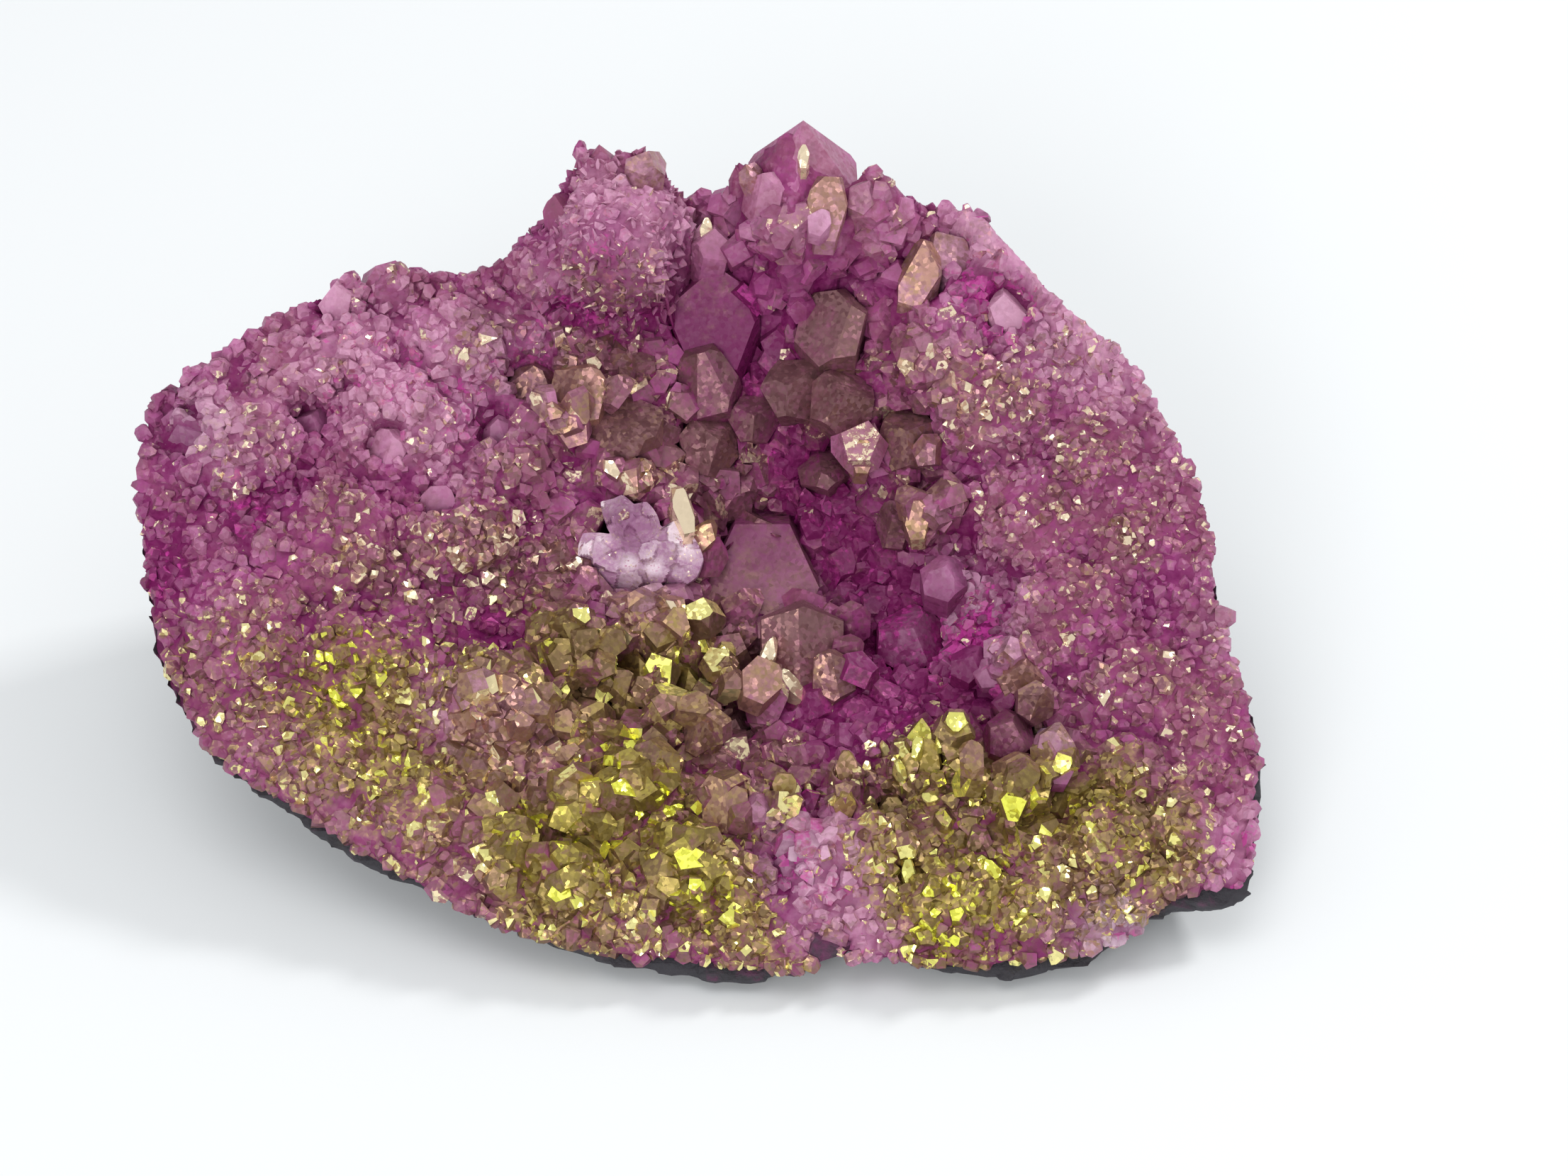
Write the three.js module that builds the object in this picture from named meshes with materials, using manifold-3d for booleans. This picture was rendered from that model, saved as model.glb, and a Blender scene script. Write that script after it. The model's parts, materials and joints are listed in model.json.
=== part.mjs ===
// A dyed geode half: a thin dark rind, and the crust of quartz crystals that lines it.
//
// It is drawn in the frame of its open face. u runs to the right across the face, v up the face,
// and h straight out of it, all from the middle of the face at the level of the crust's edge.
// The face then leans back by LEAN_DEG, so that the stone rests on its lower rim and its back.

import * as THREE from "three";
import { mergeVertices } from "three/addons/utils/BufferGeometryUtils.js";
import { ImprovedNoise } from "three/addons/math/ImprovedNoise.js";
import Module from "manifold-3d";

const wasm = await Module();
wasm.setup();

// ---- Driving dimensions, in millimetres ----

const LEAN_DEG = 30; // how far the open face leans back from lying level
const FACE_HEIGHT = 17.4; // middle of the face above the surface that the stone rests on
const FACE_MIDDLE = { x: 0.4, y: -2.6 }; // where it lies, to centre the stone on the origin

const BACK_DEPTH = 23.5; // deepest point of the rind's outside, below the face
const BACK_CENTRE = 8; // how far up the face that deepest point lies
const FRONT_FULLNESS = 1; // the bowl's section towards the lower rim: 1 is a parabola, less is squarer
const BACK_FULLNESS = 0.6; // and towards the upper rim
const RIND_AT_BACK = 4; // the rind's thickness at its deepest point
const RIND_WALL = 2; // and at its rim and its foot
const LIP_LEVEL = -1.9; // the rind's rim, below the face
const KNOB_HEIGHT = 1.2; // lumps on the rind's outside
const KNOB_SPACING = 6.5;
const FINE_KNOB_HEIGHT = 0.7;
const FINE_KNOB_SPACING = 3;
const EDGE_RAGGEDNESS = 0.4; // how unevenly the rind has broken along its rim, up and down
const EDGE_WANDER = 1.1; // and in and out
const CRUST_GAP = 0.35; // clearance between the crust and the rind

const EDGE_LEVEL = -0.7; // the crust's edge
const SWELL = 1.0; // how far the crust rises just inside its edge
const GROUND_ROUGHNESS = 0.6; // pits and swells of the crust between its lumps
const GROUND_SPACING = 4;
const OVERHANG = 1; // how far the crust may reach out over the rind's rim
const SECTORS = 60; // divisions round the rim
const SEED = 11; // of the random turns and sizes

// The rim, seen straight on: the points where its outline turns.
const RIM = [
  [38.2, -8.5], [36.6, 0], [35.4, 6], [33, 12], [31.4, 15.4], [28.5, 18.9], [25.4, 22], [22, 25.3],
  [18.5, 28.2], [14.5, 29.8], [9, 30.4], [3, 29.6], [-2, 28.8], [-7, 29.2], [-11, 28], [-14.5, 25.2],
  [-18.5, 23.4], [-23, 23.7], [-27, 22.5], [-31, 20.1], [-34.5, 17.7], [-38.3, 15.2], [-39.9, 10.5],
  [-39.7, 4.5], [-38.5, -2], [-36.4, -7.7], [-33.2, -13], [-28.3, -16.6], [-23.4, -19.9], [-18.5, -22.8],
  [-13, -25.6], [-6.5, -27.4], [0.5, -28.1], [5.5, -28.3], [9.5, -27], [14, -28], [20, -28.7],
  [25, -27.8], [29, -26], [32.6, -23.4], [36.2, -22.2], [38, -19.4], [38.2, -15], [38.4, -12],
];

// Where the rind stands proud of the crust's edge: direction in degrees, spread, and how far.
const PROUD = [[-35, 8, 1.5], [-84, 14, 0.6], [-143, 6, 0.8], [-21, 4, 0.6], [-168, 14, 0.3]];
const PROUD_EVERYWHERE = 0.3;
const ARCH = { at: -71, spread: 4, rise: 1.1 }; // where the rim of the rind rises in an arch

// The hollow and its side pockets: u, v, spread along u and v, depth.
const HOLLOWS = [
  [4, 4, 20, 14, 6], [9, 2, 8, 7, 5.5], [2, 18, 3.5, 8, 2.5], [5, -12, 5, 3.5, 2],
];

// Rounded growths that the crystals sit on: u, v, radius of the footprint, how far they stand up.
const LUMPS = [
  // along the top of the face, with the gap at u = -0.5 between the two big ones
  [-6.3, 26.2, 5.6, 4.8], [-12.2, 24.6, 3.2, 1.4], [7, 28.2, 5.4, 4], [12.8, 28, 3.6, 2],
  [17.8, 26, 3.6, 1],
  // round the upper half of the hollow
  [8.6, 20.5, 3.1, 2.6], [6.4, 16.5, 2.2, 1.8], [10.8, 15.5, 2.6, 2], [-0.8, 16.6, 3.2, 2.5],
  [0.6, 12.4, 3.1, 2.5], [-9.6, 14.3, 3.8, 2.6], [-5.3, 13, 2.8, 2], [-5.6, 10, 2.8, 1.6],
  [15.1, 12, 2.9, 2.5],
  // the right wall
  [17.3, 18.6, 4, 1.7], [20.9, 14.4, 5.2, 1.8], [28.2, 10.6, 4, 1.5], [23.8, 6, 5.6, 1.8],
  [26.1, -2.5, 5.2, 1.8], [30.8, -7.8, 4.4, 1.4], [30.6, 2.6, 3.4, 1.1], [34.4, -10.4, 3, 0.9],
  // the left wall
  [-33, 10.2, 5.4, 1.4], [-29.8, 15.4, 4.2, 1.3], [-22, 12.8, 5.2, 1.7], [-18, 18.8, 4, 1.5],
  [-27, 3, 6, 1.5], [-17.8, 4.5, 5, 1.7], [-32, -3.8, 5.2, 1.4], [-24.3, -6.2, 4.8, 1.7],
  [-25.2, 18.2, 3.4, 1.2], [-13.8, 9.8, 3.4, 1.5],
  // below the hollow
  [-14.7, -9.1, 4.8, 2.6], [-9.5, -4.6, 4.2, 1.9], [-4.1, -1.5, 3.6, 2.1], [0.9, -1.5, 2.9, 2],
  [-4.1, -14.8, 3.4, 2.5], [-8.2, -17, 2.9, 2], [-1.1, -21.3, 3.9, 2.5], [-9, -22.4, 3.1, 2],
  [3, -22.3, 2.5, 1.6], [7.5, -20.2, 3.1, 1.1], [15.7, -13.3, 3.3, 2.5], [12.3, -19.7, 3.6, 1.9],
  [17.7, -24, 4.2, 2], [22.4, -25, 2.8, 1.4], [28.2, -19.2, 3.7, 2], [30, -14.2, 3.1, 1.5],
  [23.9, -20.6, 3.1, 1.5], [33.8, -18, 3, 1],
  // along the lower left rim
  [-26.2, -13.5, 4, 1.1], [-19.3, -17.2, 3.8, 1.6], [-13.4, -20.4, 3.1, 1.6], [-4.9, -25, 2.8, 1.2],
  [2.6, -26, 2.3, 1.4],
];

// The crystals that catch the eye: u, v, radius, height of the tip above the crust, lean along u and v.
const BIG_CRYSTALS = [
  // the peaks along the top
  [7.1, 33.4, 4.3, 6.4, 0, 0.75], [9.3, 28, 2.9, 6.6, 0.25, 0.1], [13.2, 30.6, 2.7, 4.6, 0.3, 0.7],
  [2.6, 30, 2.2, 4.6, -0.5, 0.5], [-4.1, 30.8, 2, 5.4, 0.15, 0.7], [-7.4, 31.4, 1.5, 5.4, -0.1, 0.8],
  [-10.8, 28.6, 1.6, 3, -0.4, 0.7], [0.5, 25.8, 2.4, 3.6, 0, 0.1], [0.5, 20.6, 3.5, 4.2, 0.3, -0.35],
  [15.3, 24.6, 2.3, 3.2, -0.25, 0.1], [16.6, 22.4, 2.4, 3, 0.2, -0.3],
  // round the upper half of the hollow
  [-4.7, 12.2, 2.8, 4, 0.35, -0.3], [3.8, 14.1, 1.7, 3, 0.1, -0.2], [6.4, 15.8, 2.2, 4, -0.2, -0.1],
  [10.3, 14.8, 2.3, 4, 0.2, -0.2], [8.4, 10.9, 1.8, 3.2, -0.1, -0.4], [11.6, 10.7, 1.9, 4.2, 0.1, -0.3],
  [-0.6, 16.8, 2.4, 4.2, -0.2, -0.1], [0.9, 12, 2.3, 4.2, 0.2, -0.3],
  // inside the hollow
  [-2, 6.3, 2.2, 4.8, 0, 0.3], [0.3, 5, 1.6, 4, 0.4, 0.2], [4.3, 3.8, 3.6, 6, 0.2, 0.1],
  [7.5, -3.2, 3.4, 6.2, 0.05, -0.15], [4.8, -7, 2.7, 5.2, 0.35, -0.3], [9.8, -6.2, 2.2, 4.6, 0.1, -0.4],
  [15.2, 6.4, 1.9, 5, -0.2, 0.1], [13.2, 6.2, 1.5, 4, -0.3, -0.2], [18.2, 7.8, 1.7, 3.8, 0.1, 0.3],
  [17.5, 1.9, 1.9, 4.6, 0, 0.1], [15.2, -2.2, 2.5, 3.2, 0.1, 0],
  [18.9, -5.4, 1.4, 3.8, 0, 0.2], [10.8, -1.6, 1.4, 4.6, 0.1, -0.2],
  [22.1, -6.9, 2.5, 4, 0, -0.3], [23.5, -9.8, 1.6, 4, 0.1, -0.2],
  // on the shelf below the hollow
  [21.7, -15, 2.4, 4.6, -0.15, 0.15], [17.4, -11.5, 0.8, 6, -0.1, 0.5], [18.6, -13.6, 0.8, 6, -0.05, 0.4],
  [22.1, -11, 1.9, 3.2, 0.2, 0.2], [24.7, -12.2, 1.3, 3.6, 0.1, 0.4], [25, -14.4, 1.3, 3.4, 0.15, -0.1],
  [-2.4, -9.3, 1.9, 3.8, -0.2, 0.1], [-0.1, -11.4, 2, 4.2, 0.1, -0.3], [1.5, -16.1, 2.6, 3.8, -0.1, 0.1],
  [6, -14.8, 1.4, 3.2, 0.2, 0.3], [6.4, -17, 1.3, 3, 0.3, 0], [3.8, -16.6, 1.2, 3, -0.1, 0.2],
  [10.3, -13.4, 1.3, 3, 0.1, 0.2], [10.1, -17.1, 1.3, 2.8, 0.1, -0.2],
  [-4.2, -14.6, 2.1, 4, 0.1, 0.2], [-8.4, -4.2, 2.2, 3.4, 0.1, 0.1],
  // knobs along the left rim
  [-22.9, 24, 2, 2.4, -0.1, 0.6], [-26.8, 22.4, 1.6, 2, -0.3, 0.4], [-36.8, 16.2, 1.9, 2.2, -0.5, 0.4],
  [-38, 11.4, 2.2, 1.5, -0.6, 0.1],
];

const CRYSTAL_SIDES = 6;
const FOOT_WIDTH = 0.85; // a crystal's width at its foot, as a share of its width at the shoulder
const TIP_HEIGHT = 1.1; // of a quartz tip, as a share of its crystal's radius
const TIP_OFFSET = 0.35; // how far its apex strays from the middle, as a share of the radius
const ROOT = 2.5; // how deep a crystal is rooted in the crust
const LUMP_SIDES = 7;
const LUMP_SHOULDER = 0.72; // where a lump's side turns over, as a share of its width and of its height
const LUMP_ROUGHNESS = 0.3;
const LUMP_WAVE = 0.6; // spacing of its unevenness, as a share of its footprint
const PLAIN_LUMP = 4.1; // wider lumps have a crystal of their own
const OWN_CRYSTAL = { smallest: 0.3, largest: 0.42, widest: 4.5, stand: 1.2, sunk: 0.6 };
const MERGE_FACETS = 0.15; // facets this near to one plane become one

// ---- Small helpers ----

const TURN = 2 * Math.PI;
const noiseField = new ImprovedNoise();
const noise = (x, y, z, spacing) => noiseField.noise(x / spacing, y / spacing, z / spacing);
const random = (low, high) => low + (high - low) * THREE.MathUtils.seededRandom();
const gauss = (distance, spread) => Math.exp(-(distance ** 2) / (2 * spread ** 2));

function solidOf(geometry) {
  const bare = geometry.clone();
  bare.deleteAttribute("normal");
  bare.deleteAttribute("uv");
  const merged = mergeVertices(bare, 1e-4);
  return new wasm.Manifold(
    new wasm.Mesh({
      numProp: 3,
      vertProperties: merged.attributes.position.array,
      triVerts: new Uint32Array(merged.index.array),
    }),
  );
}

function geometryOf(solid) {
  const mesh = solid.getMesh();
  const geometry = new THREE.BufferGeometry();
  geometry.setAttribute("position", new THREE.BufferAttribute(mesh.vertProperties, 3));
  geometry.setIndex(new THREE.BufferAttribute(mesh.triVerts, 1));
  return geometry;
}

// ---- The rim and the crust's ground level ----

const rimCurve = new THREE.CatmullRomCurve3(
  RIM.map(([u, v]) => new THREE.Vector3(u, v, 0)), true, "centripetal",
);
const rimPoints = rimCurve.getPoints(720).map((p) => [Math.atan2(p.y, p.x), Math.hypot(p.x, p.y)]);
rimPoints.sort((a, b) => a[0] - b[0]);

function rimRadius(angle) {
  const wanted = Math.atan2(Math.sin(angle), Math.cos(angle));
  const next = rimPoints.findIndex(([a]) => a >= wanted);
  if (next <= 0) return rimPoints[0][1];
  const [[a0, r0], [a1, r1]] = [rimPoints[next - 1], rimPoints[next]];
  return THREE.MathUtils.mapLinear(wanted, a0, a1, r0, r1);
}

const degreesOf = (angle) => THREE.MathUtils.radToDeg(Math.atan2(Math.sin(angle), Math.cos(angle)));

function proudAt(angle) {
  const bulges = PROUD.map(([at, spread, far]) => far * gauss(degreesOf(angle) - at, spread));
  return bulges.reduce((sum, bulge) => sum + bulge, PROUD_EVERYWHERE);
}

function crustLevel(u, v) {
  const share = Math.min(1, Math.hypot(u, v) / rimRadius(Math.atan2(v, u)));
  const swell = SWELL * (1 - share ** 8);
  const dips = HOLLOWS.map(([a, b, su, sv, depth]) => depth * gauss(u - a, su) * gauss(v - b, sv));
  return EDGE_LEVEL + swell - (1 - share ** 16) * dips.reduce((sum, dip) => sum + dip, 0);
}

// A bowl's section: how much of its depth is left at a share of the way out to the rim.
function bowlDepth(share, angle) {
  const fullness = THREE.MathUtils.lerp(FRONT_FULLNESS, BACK_FULLNESS, (1 + Math.sin(angle)) / 2);
  return (1 - share ** 2) ** fullness;
}

// Revolves a list of rings, then pulls each ring out to the rim's outline. A ring has its share of
// the way out, how far outside the rim's outline it runs, its middle up the face, and its level.
function ringSolid(rings) {
  const section = rings.map(({ share }, j) => new THREE.Vector2(share, j));
  const geometry = new THREE.LatheGeometry(section, SECTORS);
  const position = geometry.attributes.position;
  for (let index = 0; index < position.count; index++) {
    const { share, outside, middle, level } = rings[index % rings.length];
    const angle = (Math.floor(index / rings.length) % SECTORS) * (TURN / SECTORS);
    const reach = share * (rimRadius(angle) + outside(angle));
    const u = reach * Math.cos(angle);
    const v = reach * Math.sin(angle) + middle * (1 - share);
    position.setXYZ(index, u, v, level(u, v, angle));
  }
  return solidOf(geometry);
}

const flatRing = (share, height) => ({ share, outside: () => 0, middle: 0, level: () => height });

// ---- The rind ----

const OUTER_SHARES = [0, 0.25, 0.46, 0.64, 0.8, 0.92, 1];
const INNER_SHARES = [0, 0.4, 0.7, 0.9, 1];
const ABOVE_ALL = 25; // a level clear above every crystal
const WIDER_THAN_ALL = 1.3; // a share of the way out that is clear outside every crystal

const lean = THREE.MathUtils.degToRad(LEAN_DEG);
const aboveGround = (solid, height) =>
  solid.trimByPlane([0, Math.sin(lean), Math.cos(lean)], height - FACE_HEIGHT);

const MEAN_RADIUS = 30; // of the rim, for the noise that runs round it
const roundRim = (angle, level, spacing) =>
  noise(MEAN_RADIUS * Math.cos(angle), MEAN_RADIUS * Math.sin(angle), level, spacing);
const ragged = (angle) => EDGE_RAGGEDNESS * roundRim(angle, MEAN_RADIUS, 5);
const arch = (angle) => ARCH.rise * gauss(degreesOf(angle) - ARCH.at, ARCH.spread);
const knobs = (u, v, h) =>
  KNOB_HEIGHT * noise(u, v, h, KNOB_SPACING) + FINE_KNOB_HEIGHT * noise(v, h, u, FINE_KNOB_SPACING);

// A ring of the bowl, of a given depth, that ends at the rind's rim.
function bowlRing(share, depth, outside, bumps = () => 0) {
  const level = (u, v, angle) => {
    const rim = LIP_LEVEL + share ** 4 * (ragged(angle) + arch(angle));
    const smooth = rim - depth * bowlDepth(share, angle);
    return smooth + bumps(u, v, smooth) * (1 - share ** 6);
  };
  return { share, outside, middle: BACK_CENTRE, level };
}

function rindOutside() {
  const edge = (angle) => proudAt(angle) + EDGE_WANDER * roundRim(angle, 0, 6);
  const rings = OUTER_SHARES.map((share) => bowlRing(share, BACK_DEPTH + LIP_LEVEL, edge, knobs));
  return aboveGround(ringSolid([...rings, flatRing(0, LIP_LEVEL)]), 0);
}

// The space inside the rind, and whatever the given rings add to it above the rim.
function rindInside(clearance, ringsAbove) {
  const inside = () => -RIND_WALL - clearance;
  const depth = BACK_DEPTH + LIP_LEVEL - RIND_AT_BACK - clearance;
  const rings = INNER_SHARES.map((share) => bowlRing(share, depth, inside));
  return aboveGround(ringSolid([...rings, ...ringsAbove]), RIND_WALL + clearance);
}

const makeRind = () =>
  rindOutside().subtract(rindInside(0, [flatRing(1, ABOVE_ALL), flatRing(0, ABOVE_ALL)]));

// ---- The crust ----

// The crust fills the rind and may reach out over its rim.
function roomForCrust() {
  const overRim = { ...bowlRing(1, 0, (angle) => proudAt(angle) + OVERHANG), middle: 0 };
  const overRimLevel = (u, v, angle) => overRim.level(u, v, angle) + CRUST_GAP;
  return rindInside(CRUST_GAP, [
    { ...overRim, level: overRimLevel },
    flatRing(WIDER_THAN_ALL, ABOVE_ALL),
    flatRing(0, ABOVE_ALL),
  ]);
}

const GROUND_SHARES = [1, 0.95, 0.84, 0.66, 0.46, 0.24, 0];

function crustGround() {
  const flush = () => 0;
  const pits = (u, v, share) => GROUND_ROUGHNESS * noise(u, v, 0, GROUND_SPACING) * (1 - share ** 8);
  return ringSolid([
    flatRing(0, -BACK_DEPTH),
    flatRing(1, -BACK_DEPTH),
    ...GROUND_SHARES.map((share) => ({
      share,
      outside: flush,
      middle: 0,
      level: (u, v) => crustLevel(u, v) + pits(u, v, share),
    })),
  ]);
}

// A rounded growth: a coarse dome, roughened, on a root in the crust.
function lump([u, v, footprint, stand]) {
  const profile = [[0, -ROOT], [1, -ROOT / 2], [LUMP_SHOULDER, LUMP_SHOULDER * stand], [0, stand]];
  const section = profile.map(([share, level]) => new THREE.Vector2(share * footprint, level));
  const dome = new THREE.LatheGeometry(section, LUMP_SIDES);
  const merged = mergeVertices(dome.deleteAttribute("normal").deleteAttribute("uv"), 1e-4);
  merged.rotateX(Math.PI / 2).rotateZ(random(0, TURN));
  const position = merged.attributes.position;
  for (let index = 0; index < position.count; index++) {
    const [x, y, z] = [position.getX(index), position.getY(index), position.getZ(index)];
    const swell = 1 + LUMP_ROUGHNESS * noise(x + u, y + v, z, LUMP_WAVE * footprint);
    position.setXYZ(index, x * swell, y * swell, z > 0 ? z * swell : z);
  }
  merged.translate(u, v, crustLevel(u, v));
  return solidOf(merged);
}

// Turns a solid that points along h to lean along u and v, with its tip at a level.
function placed(geometry, length, [u, v, level], leanU, leanV) {
  const direction = new THREE.Vector3(leanU, leanV, 1).normalize();
  const turned = new THREE.Quaternion().setFromUnitVectors(new THREE.Vector3(0, 0, 1), direction);
  const foot = new THREE.Vector3(u, v, level).addScaledVector(direction, -length);
  return solidOf(geometry.applyQuaternion(turned).translate(foot.x, foot.y, foot.z));
}

// A six-sided quartz crystal with its tip a little off its middle, as uneven growth leaves it.
function crystal(u, v, radius, stand, leanU, leanV, ground = crustLevel(u, v)) {
  const length = stand + ROOT;
  const shoulder = length - radius * TIP_HEIGHT;
  const profile = [[0, 0], [FOOT_WIDTH * radius, 0], [radius, shoulder], [0, length]];
  const section = profile.map(([r, level]) => new THREE.Vector2(r, level));
  const point = new THREE.LatheGeometry(section, CRYSTAL_SIDES);
  point.rotateX(Math.PI / 2).rotateZ(random(0, TURN));
  const position = point.attributes.position;
  const offset = TIP_OFFSET * radius;
  const [du, dv] = [random(-offset, offset), random(-offset, offset)];
  for (let index = 0; index < position.count; index++) {
    const share = Math.max(0, (position.getZ(index) - shoulder) / (length - shoulder));
    position.setX(index, position.getX(index) + du * share);
    position.setY(index, position.getY(index) + dv * share);
  }
  return placed(point, length, [u, v, ground + stand], leanU, leanV);
}

// A crystal that stands out of a lump, somewhere near its top.
function crystalOnLump([u, v, footprint, stand]) {
  const angle = random(0, TURN);
  const away = random(0.15, 0.5);
  const [du, dv] = [away * Math.cos(angle), away * Math.sin(angle)];
  const { smallest, largest, widest, stand: ownStand, sunk } = OWN_CRYSTAL;
  const size = random(smallest, largest) * Math.min(footprint, widest);
  const level = crustLevel(u, v) + stand * (1 - away ** 2) - sunk * size;
  return crystal(u + du * footprint, v + dv * footprint, size, ownStand * size, du, dv, level);
}

function makeCrust() {
  THREE.MathUtils.seededRandom(SEED);
  const grown = wasm.Manifold.union([
    wasm.Manifold.union([crustGround(), ...LUMPS.map(lump)]).simplify(MERGE_FACETS),
    ...LUMPS.filter(([, , footprint]) => footprint > PLAIN_LUMP).map(crystalOnLump),
    ...BIG_CRYSTALS.map((row) => crystal(...row)),
  ]);
  const trimmed = grown.intersect(roomForCrust()).simplify(MERGE_FACETS);
  return trimmed.decompose().reduce((a, b) => (b.volume() > a.volume() ? b : a));
}

// ---- The stone ----

const stone = new THREE.Group();
stone.rotation.x = THREE.MathUtils.degToRad(LEAN_DEG);
stone.position.set(FACE_MIDDLE.x, FACE_MIDDLE.y, FACE_HEIGHT);

function addPiece(name, solid, material) {
  const mesh = new THREE.Mesh(geometryOf(solid), new THREE.MeshStandardMaterial(material));
  mesh.name = name;
  stone.add(mesh);
}

addPiece("rind", makeRind(), { color: 0x3a363d, roughness: 0.85, metalness: 0 });
addPiece("crystal_crust", makeCrust(), { color: 0x9c5f7c, roughness: 0.35, metalness: 0.15 });

const part = new THREE.Group();
part.add(stone);

export default part;
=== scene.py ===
# %% [markdown]
# # A dyed geode half
#
# The real thing is half of a hollow stone. A thin dark rind holds a crust of quartz crystals, which was
# dyed magenta and then coated with a very thin metal film that shows tan, gold and green. The packed
# model gives the stone's size, its outline, its lumps and its largest crystals. This lesson dresses it
# from large to small: the crust's rounded body, the large crystals, one broken crystal, coats of
# blocky and of medium crystals, and the fine druse that covers everything else. Then come the rind, the
# finishes, the floor and the light.

import json
import math

import bmesh
import bpy
import numpy as np
from mathutils import Matrix, Vector, noise
from mathutils.bvhtree import BVHTree
from mathutils.kdtree import KDTree

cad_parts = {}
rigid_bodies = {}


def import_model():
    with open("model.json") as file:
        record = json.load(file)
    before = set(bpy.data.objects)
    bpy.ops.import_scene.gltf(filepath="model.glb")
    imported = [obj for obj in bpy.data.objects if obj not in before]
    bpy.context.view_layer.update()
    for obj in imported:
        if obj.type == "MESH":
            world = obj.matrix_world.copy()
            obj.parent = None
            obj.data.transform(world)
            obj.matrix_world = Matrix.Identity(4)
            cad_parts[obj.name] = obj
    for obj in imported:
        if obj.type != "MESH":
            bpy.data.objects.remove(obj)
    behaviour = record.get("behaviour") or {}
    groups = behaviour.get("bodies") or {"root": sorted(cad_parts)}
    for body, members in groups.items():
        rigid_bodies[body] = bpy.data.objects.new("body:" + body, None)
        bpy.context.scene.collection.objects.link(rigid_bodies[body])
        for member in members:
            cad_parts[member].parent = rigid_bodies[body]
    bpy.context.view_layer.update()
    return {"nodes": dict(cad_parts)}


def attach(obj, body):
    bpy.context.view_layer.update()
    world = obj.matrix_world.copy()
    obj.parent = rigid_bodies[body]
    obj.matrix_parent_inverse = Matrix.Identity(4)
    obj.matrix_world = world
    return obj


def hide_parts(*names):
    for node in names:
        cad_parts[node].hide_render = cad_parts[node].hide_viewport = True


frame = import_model()

# %% [markdown]
# ## The face frame
#
# The stone was drawn flat on its open face and then leaned back by 30 degrees. Everything that grows on
# the crust is easier to place in that face frame: u runs to the right, v up the face and h straight out
# of it, in millimetres. Two small functions go from one frame to the other.

# %% Face frame
MM = 0.001
LEAN = math.radians(30)
FACE_MIDDLE = np.array((0.4, -2.6, 17.4))
FACE_AXES = np.array(
    (
        (1, 0, 0),
        (0, math.cos(LEAN), math.sin(LEAN)),
        (0, -math.sin(LEAN), math.cos(LEAN)),
    )
)


def to_face(points):
    """World points in metres, as u, v and h in millimetres."""
    return (np.asarray(points, float) / MM - FACE_MIDDLE) @ FACE_AXES.T


def to_world(points):
    """Face points in millimetres, as world points in metres."""
    return (np.asarray(points, float) @ FACE_AXES + FACE_MIDDLE) * MM


print("middle of the face, m:", to_world((0, 0, 0)).round(4))

# %% [markdown]
# ## Camera
#
# The stone is seen from the front and about 40 degrees above the table, through a long lens, so that
# its open face is almost square to the view. The camera comes first, because every choice of shape and
# size after it is judged through it.

# %% Camera
VIEW_ELEVATION = math.radians(40)
VIEW_DISTANCE = 0.261
VIEW_SHIFT = (5.8, -1.0)  # the view's middle, right of and above the middle of the face, in mm
view_right = np.array((1, 0, 0))
view_up = np.array((0, math.sin(VIEW_ELEVATION), math.cos(VIEW_ELEVATION)))
view_forward = np.array((0, math.cos(VIEW_ELEVATION), -math.sin(VIEW_ELEVATION)))
view_target = to_world((0, 0, 0)) + MM * (VIEW_SHIFT[0] * view_right + VIEW_SHIFT[1] * view_up)

camera_data = bpy.data.cameras.new("camera")
camera_data.lens = 85
camera_data.sensor_width = 36
camera = bpy.data.objects.new("camera", camera_data)
camera.location = view_target - VIEW_DISTANCE * view_forward
camera.rotation_euler = (math.pi / 2 - VIEW_ELEVATION, 0, 0)
bpy.context.scene.collection.objects.link(camera)
bpy.context.scene.camera = camera
print("camera at, m:", [round(x, 3) for x in camera.location])

# %% [markdown]
# ## The crust's body
#
# Under its crystals the crust is one rounded, lumpy mass. Its CAD solid has the right lumps but flat
# facets. A copy of it gets four more round growths at the top, is rebuilt as one skin by a voxel remesh
# with quads of less than half a millimetre, and smoothed, so the facets melt into rounded growths.
# Its rim is then drawn in or out a little in places. Sculpting could do that as well, but a row of
# numbers for each place is easy to change. The body stands for the CAD crust.


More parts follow.
